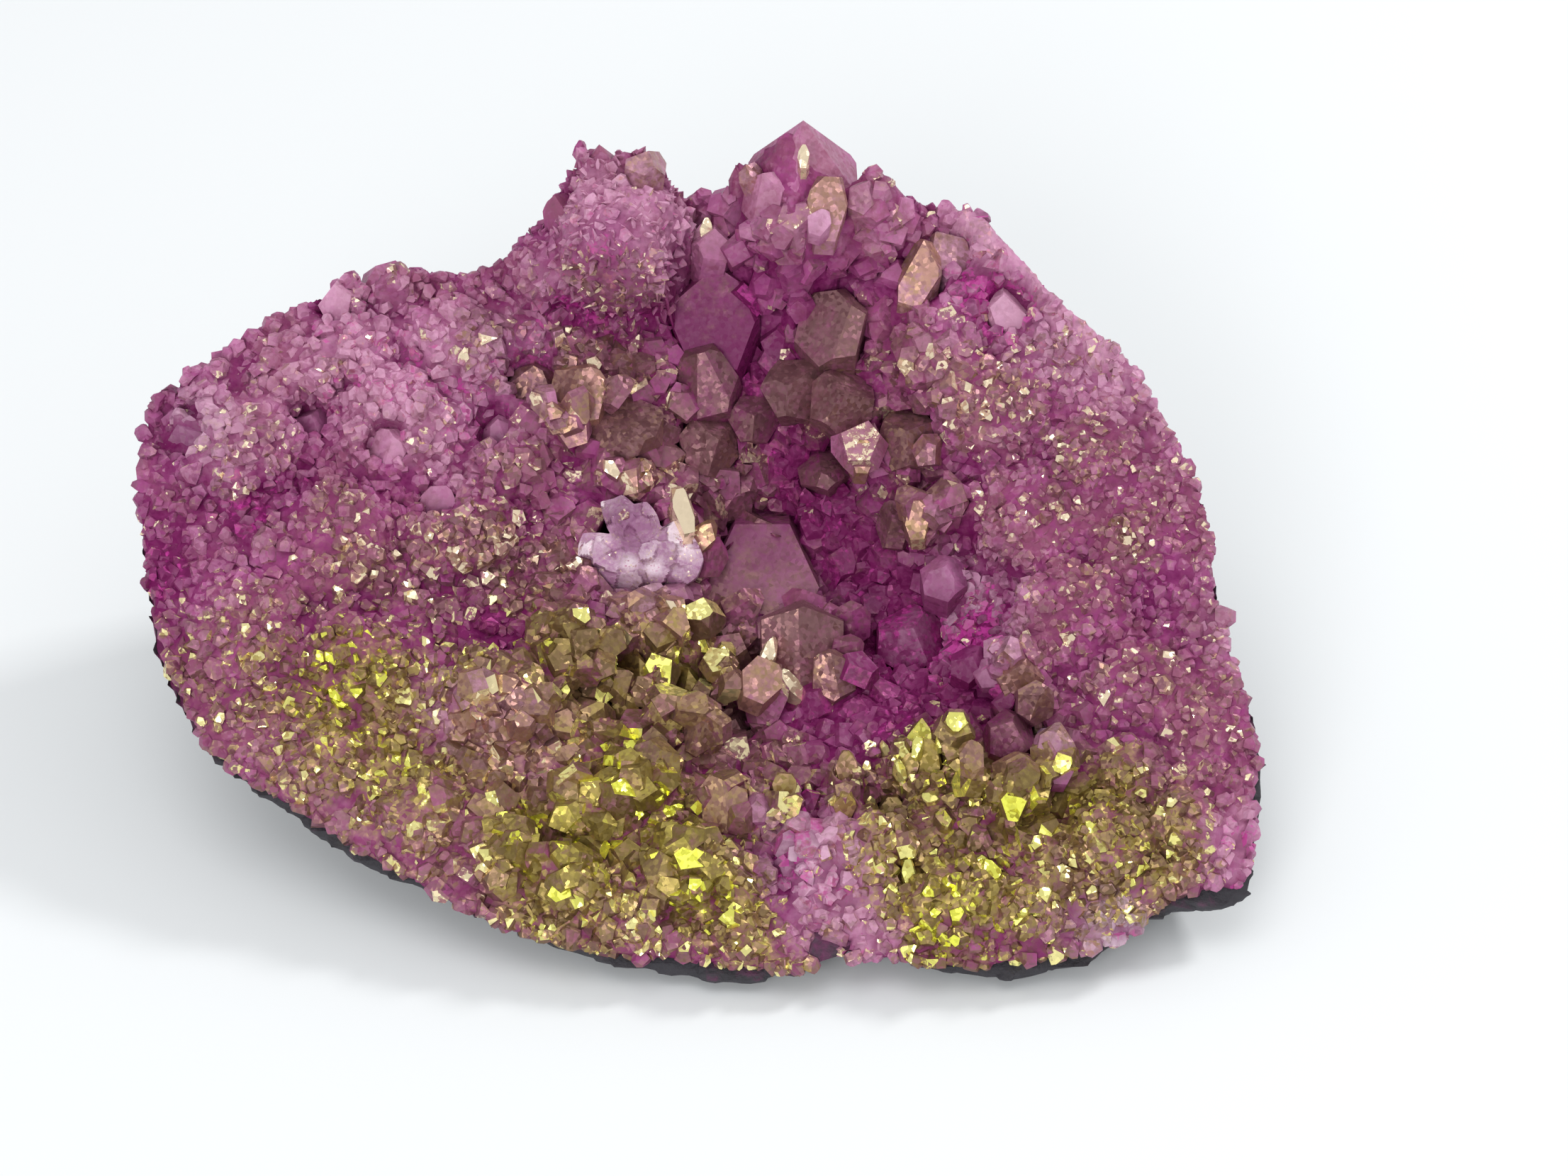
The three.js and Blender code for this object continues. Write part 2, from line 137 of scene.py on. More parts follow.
# %% A smooth copy of a CAD solid
ROUND_GROWTHS = [
    # u, v, level of the middle, radius, height as a share of it
    (-6.2, 25.6, -0.4, 5.3, 1.0),
    (6.6, 27.6, -0.6, 4.9, 0.95),
    (-11.4, 24.6, -1.2, 3.2, 0.8),
    (12.4, 27.6, -1.0, 3.6, 0.7),
]
RIM_NUDGES = [
    # u, v, reach, and how far along u and v
    (-4, 30.5, 5, 0, 0.7), (1, 28.5, 2.5, 0, 0.8), (3.5, 31, 2.5, -0.2, 0.2), (-13, 26, 2.5, 0.6, -0.3),
    (-33.5, 17.5, 3, 0.3, -0.4), (38.5, -6, 4, -0.4, 0), (9.2, -26.5, 3, 0, -1.6), (30, -26, 4, 0, -0.4),
    (-40, 10, 6, -0.3, 0.1), (-40, -1, 6, -0.4, 0), (-36, -12, 6, -0.5, -0.3), (-9.5, 31, 3, -0.7, 0.5),
    (-23, 24, 3, 0, 0.6), (23, 26, 5, 0.3, 0.3), (-36.5, 16, 2, -0.6, -0.3), (22, -27.5, 4, 0, 0.6),
    (-2, -28, 4, 0, 0.3), (36.5, 7, 5, 0.4, 0.2), (37.5, 0.5, 2.5, -0.5, 0), (39, -10, 3, 0.4, 0),
    (-38, 13.5, 3, -0.5, 0.2), (-31.5, 18, 3, -0.2, 0.5), (20.5, 26.5, 3, 0.3, 0.5),
    (29.5, 16.5, 3, 0.4, 0.3), (11.3, 29.5, 2, 0, -0.5), (-10, 29.5, 2.5, -0.2, 0),
    (34, -24.5, 2.5, -0.2, 0.6), (38, -21.5, 2.5, 0.3, -0.6), (11.5, -27.5, 2, 0, 0.8),
]
CRUST_NUDGES = [(38.5, -19, 4, 0.3, -0.8)]  # one more, where the rind stands proud of the crust
GAP_TO_CLOSE = 0.5  # mm, between the crust and the rind
FACES_DOWN = -0.3  # the normal's share along h, below which a point belongs to the underside
lean_matrix = Matrix([[*axis, 0] for axis in FACE_AXES.T] + [[0, 0, 0, 1]])
face_out = Vector(FACE_AXES[2])


def link(name, mesh):
    """A new object in the scene, with that mesh."""
    piece = bpy.data.objects.new(name, mesh)
    bpy.context.scene.collection.objects.link(piece)
    return piece


def merged_copy(node):
    """A copy of a CAD node's mesh with its loose triangles joined."""
    form = bmesh.new()
    form.from_mesh(frame["nodes"][node].data)
    bmesh.ops.remove_doubles(form, verts=form.verts, dist=1e-6)
    mesh = bpy.data.meshes.new(node + "_copy")
    form.to_mesh(mesh)
    form.free()
    mesh.materials.clear()
    return mesh


def rounded(mesh, voxel, smoothing):
    """The mesh rebuilt in even quads of one voxel's size, then smoothed."""
    piece = link("rounded", mesh)
    remesh = piece.modifiers.new("even", "REMESH")
    remesh.mode = "VOXEL"
    remesh.voxel_size = voxel
    soften = piece.modifiers.new("soften", "SMOOTH")
    soften.factor = 0.5
    soften.iterations = smoothing
    evaluated = piece.evaluated_get(bpy.context.evaluated_depsgraph_get())
    made = bpy.data.meshes.new_from_object(evaluated)
    bpy.data.objects.remove(piece)
    return made


def triples(items, key):
    """A vector that every vertex or face of a mesh has, as rows."""
    flat = np.empty(3 * len(items), np.float32)
    items.foreach_get(key, flat)
    return flat.reshape(-1, 3).astype(float)


def whole_numbers(items, key):
    """A whole number that every corner or face of a mesh has."""
    flat = np.empty(len(items), np.int32)
    items.foreach_get(key, flat)
    return flat


def points_of(mesh):
    return triples(mesh.vertices, "co")


def normals_of(mesh):
    return triples(mesh.vertices, "normal")


def move_points(mesh, points):
    """Puts every vertex of a mesh at its new point."""
    mesh.vertices.foreach_set("co", np.asarray(points, np.float32).ravel())
    mesh.update()


def patch(points, u, v, reach):
    """A soft round patch on the face: 1 in its middle, and half of that at its reach."""
    return np.exp(-((points[:, 0] - u) ** 2 + (points[:, 1] - v) ** 2) / (1.4 * reach**2))


def nudged(points, rows):
    """Face points drawn a little along u and v in places."""
    moved = points.copy()
    for u, v, reach, along_u, along_v in rows:
        moved[:, :2] += patch(points, u, v, reach)[:, None] * np.array((along_u, along_v))
    return moved


def store(mesh, name, values, domain="POINT"):
    """Keeps one number for each vertex or face, for the shader to read."""
    layer = mesh.attributes.new(name, "FLOAT", domain)
    layer.data.foreach_set("value", np.asarray(values, np.float32))


crust_copy = merged_copy("crystal_crust")
crust_form = bmesh.new()
crust_form.from_mesh(crust_copy)
crust_tree = BVHTree.FromBMesh(crust_form)  # of the CAD crust alone, to find its level
for u, v, h, radius, flatness in ROUND_GROWTHS:
    place = Matrix.Translation(to_world((u, v, h))) @ lean_matrix @ Matrix.Diagonal((1, 1, flatness, 1))
    bmesh.ops.create_icosphere(crust_form, subdivisions=4, radius=radius * MM, matrix=place)
crust_form.normal_update()
for vertex in crust_form.verts:
    if vertex.normal.dot(face_out) < FACES_DOWN:
        vertex.co -= GAP_TO_CLOSE * MM * face_out
crust_form.to_mesh(crust_copy)
crust_form.free()
crust_body = rounded(crust_copy, voxel=0.00045, smoothing=4)
body_face = nudged(to_face(points_of(crust_body)), RIM_NUDGES + CRUST_NUDGES)
move_points(crust_body, to_world(body_face))
crust_body.shade_smooth()
print("crust body:", len(crust_body.vertices), "vertices")

# %% [markdown]
# ## Crests and crevices
#
# Dye settles in the crevices and film on the crests, and the crevices also get painted shade and the
# crests painted light, so the colours need to know which is which. The body's highest level over each
# small square of the face is written to a grid, the grid is blurred, and a point's height above the
# blurred level tells a crest from a crevice.

# %% Height above the surroundings
CELL = 0.5  # side of one square of the grid, in mm
REACH = 45  # how far the grid goes from the middle of the face
NO_LEVEL = -99.0  # marks a square without a body
WIDE, NEAR = 7, 3  # two blurs, in squares
WIDE_RELIEF, NEAR_RELIEF = 1.6, 0.8  # height in mm that counts as a full crest, for each blur
cells = int(2 * REACH / CELL)


def smooth_step(x, low, high):
    """From 0 at one value to 1 at the other, with soft ends."""
    t = np.clip((x - low) / (high - low), 0, 1)
    return t * t * (3 - 2 * t)


def cell_of(values):
    return np.clip(((values + REACH) / CELL).astype(int), 0, cells - 1)


def blurred(field, spread):
    """The field blurred along both sides with a bell curve of that spread in squares."""
    offsets = np.arange(-3 * spread, 3 * spread + 1)
    bell = np.exp(-(offsets**2) / (2 * spread**2))
    rows = np.apply_along_axis(lambda line: np.convolve(line, bell, "same"), 0, field)
    return np.apply_along_axis(lambda line: np.convolve(line, bell, "same"), 1, rows)


top_level = np.full((cells, cells), NO_LEVEL)
np.maximum.at(top_level, (cell_of(body_face[:, 0]), cell_of(body_face[:, 1])), body_face[:, 2])
known = (top_level > NO_LEVEL).astype(float)


def surroundings(spread):
    """The mean level round every square, without the squares that have no body."""
    return blurred(np.where(known > 0, top_level, 0), spread) / np.maximum(blurred(known, spread), 1e-3)


wide_level, near_level = surroundings(WIDE), surroundings(NEAR)


def crest_at(points):
    """From 0 in a crevice to 1 on a crest, at face points."""
    cell = cell_of(points[:, 0]), cell_of(points[:, 1])
    wide = smooth_step(points[:, 2] - wide_level[cell], -WIDE_RELIEF, WIDE_RELIEF)
    near = smooth_step(points[:, 2] - near_level[cell], -NEAR_RELIEF, NEAR_RELIEF)
    return 0.5 * wide + 0.5 * near


print("crest values:", np.percentile(crest_at(body_face[::50]), (5, 50, 95)).round(2))

# %% [markdown]
# ## Where the colours lie
#
# Dye and metal film didn't reach every part alike. The film is strong over the lower half and on the
# lumps round the hollow, it turns green in patches, the dye is deepest in the valleys, and the broken
# rim shows pale quartz. Each of these is a soft map over the face: a sum of round patches, given as
# u, v, reach and strength, where a negative strength takes away. Every vertex and every small
# crystal reads its colour from these maps. A texture could do that too, but crystals would then change
# colour in their middle instead of at their edges.

# %% Colour maps of the face
FILM_SPOTS = [
    # u, v, reach and strength: where the film is thicker, or thinner where that is negative; a few of them
    # also brighten places in shade, as painted light
    # upper third
    (8.6, 20.5, 3.4, 0.4), (-6, 19, 3, 0.4), (-10, 18.5, 3.5, 0.3), (-9, 18, 3.5, 0.4), (18.5, 18, 5, 0.2),
    (-12, 17, 4, 0.3), (-5.5, 17, 3, 0.3), (21.5, 16.5, 3, 0.3), (-16, 16, 4, 0.2), (6.3, 15.5, 2.8, 0.4),
    (11, 15.5, 3.6, 0.35), (-20, 14, 5, -0.2), (24, 14, 4, 0.25), (-12, 13, 3, -0.2), (-1, 13, 3.4, 0.3),
    (-13, 12.5, 3.6, 0.2), (2, 12, 5, 0.3), (11, 12, 1.5, -0.6), (15.1, 12, 3, 0.4), (-12, 11.5, 3.5, -0.3),
    (-14, 11, 3, 0.3), (-8.5, 11, 3.8, 0.4), (-4.5, 9.5, 3.4, 0.3), (3, 8, 2, 0.4), (4, 8, 13, 0.4),
    # middle third
    (-32, 7, 3, 0.3), (14.5, 7, 3, 0.4), (4, 6, 4.4, 0.3), (28, 6, 3, 0.2), (28, 6, 4, 0.25),
    (-28, 2, 3, 0.3), (-10, 2, 4, 0.5), (-15, 1.8, 4, 0.45), (-20, 1.5, 5, 0.25), (-4.5, 1.2, 2.5, -0.2),
    (-13, 0.5, 4, 0.2), (-21, 0, 4, 0.5), (30, 0, 4, 0.2), (-24, -1.5, 3, 0.35), (2, -1.5, 3.2, 0.4),
    (19, -1.5, 3, -0.3), (18, -2, 2.5, -0.4), (-16.5, -2.5, 3, -0.2), (-13, -2.5, 3.5, 0.2),
    (-3, -3, 4, 0.5), (1, -3, 2.5, 0.3), (-0.5, -3.5, 2.2, 0.4), (-3, -4, 3, 0.3), (0, -4, 2.5, 0.4),
    (7, -4, 3.6, 0.35), (-2, -4.5, 2.2, 0.4), (8, -4.5, 2.4, 0.4), (-24, -5, 2.5, -0.3),
    (-8, -5.5, 3.5, 0.3), (-17.5, -6, 2, 0.2), (-8, -7, 2.6, 0.4), (28, -7, 4, 0.2), (23.8, -7.5, 2.6, 0.5),
    # lower third
    (-20, -9, 2.6, 0.3), (-17, -9, 3, -0.25), (36, -9, 3.5, 0.5), (-17.5, -9.5, 3, 0.2),
    (4.5, -9.5, 2, 0.4), (-23.5, -11, 2.5, 0.4), (17.5, -11, 2.5, 0.3), (-14, -11.5, 2.6, 0.3),
    (20, -11.5, 3, 0.3), (21, -11.5, 2, 0.3), (-15, -12, 2.5, 0.3), (-12.5, -12, 2.5, 0.4),
    (27.5, -12, 2.5, 0.4), (14, -12.5, 3.2, 0.9), (15, -12.5, 2.6, 0.5), (20.5, -13, 2.5, 0.3),
    (8.5, -14, 2.5, 0.4), (27, -14.5, 2.2, 0.4), (-5, -17.3, 2.5, 0.3), (-5, -17.3, 2.2, 0.4),
    (4, -17.3, 2.5, 0.4), (-4, -18, 2.5, 0.4), (-4, -18, 2, 0.4), (4, -18, 2.5, 0.3), (18, -18, 3, 0.3),
    (26, -18, 5, 0.4), (14, -20.5, 3, 0.5), (31, -20.5, 2.5, 0.3), (31, -20.5, 3, 0.4),
    (-14.5, -21, 2.5, -0.3), (30, -21, 2.5, 0.3), (30, -21, 3, 0.4), (-13, -21.5, 2, 0.3),
    (9.5, -22, 2, 0.35), (-10, -22.5, 2.5, 0.3), (-7, -22.5, 2.5, 0.3), (13.5, -23.5, 2.5, 0.4),
    (26, -24, 2.5, 0.3), (27, -24, 2.2, 0.3), (34, -24, 2, -0.4), (2, -24.5, 3, 0.7), (3.5, -25, 2.5, 0.3),
    (-8, -25.5, 2.5, 0.4), (-7, -26, 2.2, 0.4), (29, -26, 2.4, 0.5), (12, -26.5, 2, -0.5),
]
FILM_GAPS = [
    # places that the film missed
    # upper third
    (-6.3, 24.5, 5, 0.3), (5, 24.5, 3, 0.3),
    # middle third
    (-24, -3.5, 4, 0.35), (-15, -3.5, 3, 0.3), (-35, -4, 4, 0.35),
    # lower third
    (-17, -9, 2.2, 0.4), (9.5, -9.2, 3.4, 0.6), (12, -11.5, 3.2, 0.35), (-33, -12, 3, 0.3),
    (25, -13, 1.6, 0.6), (-30, -16, 4, 0.2), (6.5, -18.5, 4, 0.75), (-21, -19.5, 3.4, 0.15),
    (37.5, -19.5, 2.6, 0.9), (20, -22, 5, 0.1), (37.5, -22, 2.5, 0.4), (8.5, -23.5, 3.6, 0.7),
    (27.5, -25, 2.5, 0.6), (29, -26, 2, 0.6), (-2, -27.5, 4, 0.15), (-4, -30, 5, 0.2),
]
LILAC_SPOTS = [
    # clear, hardly dyed quartz
    (7, -21, 3.5, 0.15), (-4.5, 1.2, 2.5, 0.2), (27.5, -25, 2.5, 0.5), (18.5, -3.5, 3, 0.25),
    (18.5, 0, 2.2, 0.25), (-5, 0, 2.4, 0.35), (24.8, -13, 1.4, 0.6), (-37, 11, 2.4, 0.5),
    (29.5, -26, 1.8, 0.8), (6, -20.5, 1.6, 0.5),
]
GREEN_SPOTS = [
    # where the film turns green, or stays tan
    # middle third
    (-4.5, 1.2, 2.5, -0.6), (6.5, -2.5, 3, -0.4), (-12, -3.5, 3, 0.55), (-0.5, -3.5, 2.2, 0.5),
    (-2, -4, 3, 0.35), (-8, -5.5, 3.5, 0.4), (-24.5, -5.8, 2.6, 0.9), (-17, -7.2, 2.6, 0.75),
    # lower third
    (-16, -9, 3.5, -0.4), (-26.3, -9.2, 2, 0.7), (-17.5, -9.5, 3, -0.2), (-15, -9.5, 3, -0.3),
    (1, -10, 3, 0.35), (2, -10.5, 3, -0.5), (-23.5, -11, 2.5, 0.3), (18, -11, 3, 0.3),
    (15, -12.5, 2.4, 0.3), (20.5, -13, 2.5, 0.3), (-9, -13.5, 2.4, -0.4), (-6.5, -13.6, 2.6, 1),
    (-20, -14, 3.2, 0.45), (27, -15.4, 2.6, 0.7), (22.8, -17.2, 2.4, 0.4), (-5, -17.3, 2.5, 0.3),
    (-4, -18, 2.5, 0.3), (-1.2, -18, 2.6, 0.6), (18, -18, 3, 0.3), (-14, -18.5, 3, -0.3),
    (-4, -18.5, 2.5, 0.4), (-13.3, -19, 2.6, 1), (-9.5, -19, 3, -0.3), (-9.5, -19.3, 2.4, 1),
    (-14.5, -21, 2.5, -0.2), (14, -21, 3, -0.5), (29, -21, 3, -0.2), (30, -21, 2.5, 0.2), (30, -21, 3, 0.4),
    (13.5, -21.5, 3.2, 0.6), (-5, -22, 2.5, -0.3), (-10, -22.5, 2.5, 0.3), (-7, -22.5, 2.5, 0.4),
    (-0.4, -23.4, 2.2, 1), (-16, -23.5, 2.6, -0.4), (20, -24, 3, 0.5), (34, -24, 2, -0.5),
    (-12.5, -24.5, 3, 0.2), (3.5, -25, 2.5, 0.2), (16, -25.5, 3, 0.65), (12, -26.5, 2.5, -0.5),
]
VALLEYS = [
    # the deep dyed channels that run down through the hollow
    (-15, -3.6, 1.5, 0.9), (3.4, 20.5, 1, 1), (3.6, 18, 1.1, 1), (4.5, 15, 1.3, 1), (6, 12, 1.3, 1),
    (7.2, 9.6, 1.4, 1), (9, 7.6, 1.3, 1), (10.7, 5.6, 1.4, 1), (12.2, 3.4, 1.5, 1), (13.6, 0.8, 1.6, 1),
    (12.6, -2.2, 1.6, 1), (13.8, -5, 1.8, 1), (19.6, -8.2, 1.6, 1), (16.4, -8.6, 1.6, 1),
]
MAGENTA_SPOTS = [
    # where the dye is deep, or thin; a few thin spots also lighten places in shade, as painted light
    # upper third
    (-1, 27, 3, -0.3), (-6.5, 26.5, 4, -0.15), (4, 23.5, 2.4, 0.5), (-7, 22.4, 3, 0.4),
    (20.5, 21, 2.4, 0.5), (3.6, 18.5, 1.6, 0.8), (4.5, 15, 1.6, 0.9), (6, 12, 1.9, 0.9), (7.6, 9, 1.9, 0.8),
    # middle third
    (-31, 6, 3, 0.4), (-12, 6, 2.6, 0.4), (28, 6, 3, -0.3), (10.6, 5.6, 2.2, 0.8), (-38, 4, 3.5, 0.35),
    (-14, 2.5, 4.5, 0.15), (-38.5, 1, 3, 0.15), (-4.5, 1, 2.5, -0.3), (13.6, 1, 2.4, 0.8),
    (-39.2, 0, 2.4, 1), (33, -1, 3, 0.35), (18.5, -1.5, 2.8, -0.3), (-16.5, -2.5, 2.8, 0.6),
    (-14, -2.5, 2.6, 0.5), (19.2, -2.5, 2.2, 0.5), (-36.5, -3, 2.5, -0.4), (-12, -3, 4, 0.35),
    (12.4, -3.4, 2.6, 0.8), (-15.5, -3.6, 2.5, 0.4), (-37, -4, 2.2, 0.5), (18.4, -4.2, 2, 0.4),
    (-17.5, -6, 2, -0.5),
    # lower third
    (16, -9.3, 2.6, 0.7), (9.5, -9.4, 3, 0.7), (-17.5, -9.5, 3, -0.2), (3, -9.5, 1.8, 0.7),
    (19.6, -9.6, 2.6, 0.7), (-15, -12, 2.5, -0.3), (7, -17, 1.6, 0.5), (28, -17, 4, 0.15),
    (5.4, -21, 1.6, 0.5), (7, -22, 3, 0.1), (13.5, -23.5, 2.5, -0.3),
]
PALE_SPOTS = [
    # where the quartz is pale, or dark; a few pale spots also paint light onto places in shade
    # upper third
    (-1, 27, 3, 0.4), (-6.5, 26, 4.5, 0.9), (-6.3, 26, 5, 0.2), (5, 25, 4, 0.3), (22.5, 24.8, 4.6, 1.6),
    (4, 23.5, 3, -0.4), (26.5, 20.8, 3.8, 1.6), (-27, 20.5, 3.4, 0.45), (-11, 18.5, 4, 0.3),
    (-24, 18, 4, 0.3), (-9, 18, 3, 0.3), (4, 17.5, 1.6, 0.7), (-12, 17, 4, 0.3), (-16, 16, 4.5, 0.5),
    (30.4, 16, 3, 1), (-22, 15, 5, 0.2), (-17, 15, 4, 0.2), (-24.5, 14.5, 5, 0.55), (-6, 14, 3.5, -0.3),
    (-16, 13, 3.5, 0.3), (5.5, 13, 1.8, 0.4), (-34.5, 12.5, 3.6, 0.5), (2, 12, 5, 0.2), (-14, 11, 3, -0.3),
    (23, 10.5, 2.2, 0.4), (7.5, 9.5, 1.8, 0.6), (33.5, 9.5, 3, 0.6), (-18, 9, 3, 0.5), (-24, 8, 6, 0.15),
    (-23, 8, 4, -0.3), (34, 8, 4, -0.3),
    # middle third
    (-33, 6, 3, 0.2), (-33, 5, 3, 0.3), (-38, 4, 3.5, -0.25), (-33, 4, 3, 0.3), (-19, 3, 3.5, 0.3),
    (26, 3, 8, -0.12), (-14, 2.5, 4.5, -0.3), (-28, 2, 3, -0.3), (-4.5, 1.2, 2.5, 0.6),
    (-39.5, 1, 2.2, 0.3), (18.6, 0.5, 2.8, 0.8), (-20, 0, 5, -0.2), (28, 0, 6, -0.2), (35, 0, 4, -0.2),
    (36.5, 0, 3, 0.6), (19.5, -0.5, 3, 0.4), (-24, -1.5, 3, -0.3), (18.5, -1.5, 3, 0.4), (16.5, -2, 3, 0.5),
    (-16.5, -2.5, 3, -0.5), (-13, -2.5, 3.5, -0.8), (-36.5, -3, 2.5, 0.3), (-15.5, -3.6, 2.5, -0.5),
    (18, -4, 2.6, 0.3), (37.2, -4.5, 2.4, 0.8), (-24, -5, 2.5, -0.2), (19.8, -5.4, 1.6, 0.6),
    (-17.5, -6, 2, 0.4), (21.5, -7, 2.6, 0.3),
    # lower third
    (-20, -9, 2.6, 0.3), (-17, -9, 2.2, 0.6), (-17.5, -9.5, 3, 0.4), (-15, -10, 3.5, 0.3),
    (38, -10, 3, -0.3), (-14, -11.5, 2.6, 0.3), (-15, -12, 2.5, 0.4), (-12.5, -12, 2.5, 0.4),
    (14, -12.5, 3, 0.4), (-29, -15, 5, 0.3), (18, -15, 3, 0.2), (8, -17, 2.5, 0.3), (36, -17.5, 2.5, -0.3),
    (-24, -18.5, 3.4, 0.5), (7.4, -19.5, 3.2, 0.6), (37.8, -19.5, 2.6, 1.3), (31, -20.5, 3, -0.2),
    (38, -20.5, 3, 0.2), (-14.5, -21, 2.5, -0.2), (7, -21, 3.5, 0.3), (14, -21, 3, 0.2), (38, -21, 3, 0.2),
    (38, -21.5, 2.5, 0.4), (8, -22, 3.5, 0.3), (20, -22, 5, 0.2), (12, -22.4, 1.6, 0.8),
    (-16, -22.5, 3, 0.4), (-10, -22.5, 2.5, 0.3), (3, -23, 2.5, -0.3), (26, -24, 2.5, 0.3),
    (3.5, -25, 2.5, -0.3), (27.5, -25, 3, 0.7), (29.5, -25.5, 2.6, 0.8), (8, -26.5, 4, 0.5),
    (12, -26.5, 2.2, 0.5), (-4, -29, 7, 0.3),
]
BARE_RIM = [
    # the smooth broken band along the upper right rim
    (18.8, 27.4, 1.3, 1), (20.6, 26.8, 1.3, 1), (22.4, 25.8, 1.3, 1), (24, 24.4, 1.3, 1),
    (25.5, 22.8, 1.2, 1), (26.8, 21.1, 1.1, 1), (28, 19.3, 1, 1), (29.2, 17.4, 1, 1), (38.2, -3.6, 1.2, 1),
]


def spots(points, rows):
    """The sum of round patches at face points, from rows of u, v, reach and strength."""
    total = np.zeros(len(points))
    for u, v, reach, strength in rows:
        total += strength * patch(points, u, v, reach)
    return total


def colour_maps(points):
    """Film, green shift, depth of dye with painted crevice shade, paleness with painted crest light and
    lilac at face points, each from 0 to 1.
    """
    u, v = points[:, 0], points[:, 1]
    # the edge of the filmed lower half, which steps down twice towards the right
    shelf = -4.5 - 0.1 * (u + 10) - 5.5 * smooth_step(u, -2, 12) - 1.5 * smooth_step(u, 20, 34)
    lower = smooth_step(shelf - v, -5.5, 5.0)
    crest = crest_at(points)
    valley = np.clip(spots(points, VALLEYS), 0, 1)
    film = 0.16 + 0.72 * lower + 0.7 * spots(points, FILM_SPOTS) - spots(points, FILM_GAPS)
    # crests get more film and paler quartz as painted light, crevices deeper dye with painted shade
    film += 0.5 * (crest - 0.55) - 0.6 * valley
    green = 0.18 * lower + 0.5 * spots(points, GREEN_SPOTS)
    dye = 0.12 + spots(points, MAGENTA_SPOTS) + 0.9 * np.clip(0.45 - crest, 0, 1) + 0.4 * valley
    pale = 0.1 + spots(points, PALE_SPOTS) + 0.4 * (crest - 0.5) - 0.5 * valley
    lilac = spots(points, LILAC_SPOTS)
    maps = {"film": film, "green": green, "dye": dye, "pale": pale, "lilac": lilac}
    return {name: np.clip(values, 0, 1) for name, values in maps.items()}


middle_maps = colour_maps(np.zeros((1, 3)))
print("maps at the middle:", {name: round(float(values[0]), 2) for name, values in middle_maps.items()})

# %% [markdown]
# ## A quartz crystal
#
# Quartz grows as a six-sided prism that ends in six sloping faces, each at 51.8 degrees to the axis's
# cross section. Growth is never even, so some tip faces are large and their neighbours are slivers.
# A cone operator with nearly equal radii gives the prism, and six plane cuts give the tip. Moving each
# cut in or out by a random share makes every crystal different. A ready mesh could be copied instead,
# but then every tip would have the same faces.

# %% Cutting one crystal
TURN = 2 * math.pi


def quartz(radius, root, cuts, rng, squeeze=1.0, slopes=(48, 55)):
    """A crystal in mm with its tip at the origin, that points along z and reaches down to about -root.

    Each of the six cuts is how far out a tip face lies, as a share of the radius.
    The least of them makes the largest face.
    """
    form = bmesh.new()
    bmesh.ops.create_cone(
        form,
        cap_ends=True,
        segments=6,
        radius1=0.9 * radius,
        radius2=radius,
        depth=root + radius,
        matrix=Matrix.Translation((0, 0, 0.5 * (radius - root))),
    )
    for side, out in enumerate(cuts):
        angle = TURN * side / 6
        slope = math.radians(rng.uniform(*slopes))
        out_along = math.sin(slope)
        normal = Vector((out_along * math.cos(angle), out_along * math.sin(angle), math.cos(slope)))
        cut = bmesh.ops.bisect_plane(
            form,
            geom=form.verts[:] + form.edges[:] + form.faces[:],
            plane_co=normal * out * radius,
            plane_no=normal,
            clear_outer=True,
        )
        open_edges = [e for e in cut["geom_cut"] if isinstance(e, bmesh.types.BMEdge)]
        if len(open_edges) > 2:
            bmesh.ops.contextual_create(form, geom=open_edges)
    bmesh.ops.remove_doubles(form, verts=form.verts, dist=0.01 * radius)
    bmesh.ops.scale(form, vec=(1, squeeze, 1), verts=form.verts)
    bmesh.ops.recalc_face_normals(form, faces=form.faces)
    top = max(vertex.co.z for vertex in form.verts)
    bmesh.ops.translate(form, vec=(0, 0, -top), verts=form.verts)
    return form


def uneven_cuts(amount, rng):
    """Six cuts of random depth, in which every second face tends to be the larger."""
    return [rng.uniform(0, amount) * (1.0 if side % 2 else 0.35) for side in range(6)]


def axis_frame(aim, turn):
    """Axes with the third along a direction and the first turned from the face's own right."""
    upright = Vector((0, 0, 1)).rotation_difference(aim).to_matrix()
    return (upright @ Matrix.Rotation(turn, 3, "Z")).to_4x4()


# %% [markdown]
# ## The large crystals
#
# Some ninety crystals are large enough to be seen one by one. Each has its own row: where its tip is,
# how far it is lifted, its radius, how it leans, which way its main face looks, how many main faces it
# has, and its look. The level of a tip comes from the CAD crust, whose own largest crystals stand in the
# same places, so a ray down the face's normal finds it.

# %% Large crystals, row by row
LOOKS = {
    # what a look adds to the maps' film, green, dye, pale and lilac, and its share of bright film and
    # painted glints
    "mauve": (-0.2, 0.0, 0.0, 0.1, 0.0, 0.4),
    "plum": (0.2, -0.1, 0.7, -0.7, 0.0, 0.0),
    "grey": (0.2, 0.1, 0.25, -0.5, 0.3, -0.05),
    "salmon": (0.35, -1.0, -0.3, 0.8, 0.0, 0.75),
    "tan": (0.25, -0.2, -0.1, 0.1, 0.0, 0.75),
    "olive": (0.1, -0.05, -0.05, -0.1, 0.0, 0.4),
    "gold": (0.6, 0.1, -0.1, 0.0, 0.0, 0.8),
    "flash": (0.8, 0.0, -0.1, 0.3, 0.0, 1.3),
    "smoky": (0.2, -0.1, 0.05, -0.3, 0.0, 0.3),
    "pink": (-0.8, -0.5, -0.3, 0.4, 0.1, 0.4),
    "clear": (-0.8, -0.4, 0.3, -0.9, 0.2, 0.4),
    "magenta": (-0.5, -0.3, 0.6, 0.0, 0.0, 0.5),
    "lilac": (-1.0, -0.5, -0.6, 0.2, 1.0, 0.5),
    "violet": (-0.6, -0.4, 0.3, -0.1, 0.25, 0.45),
}
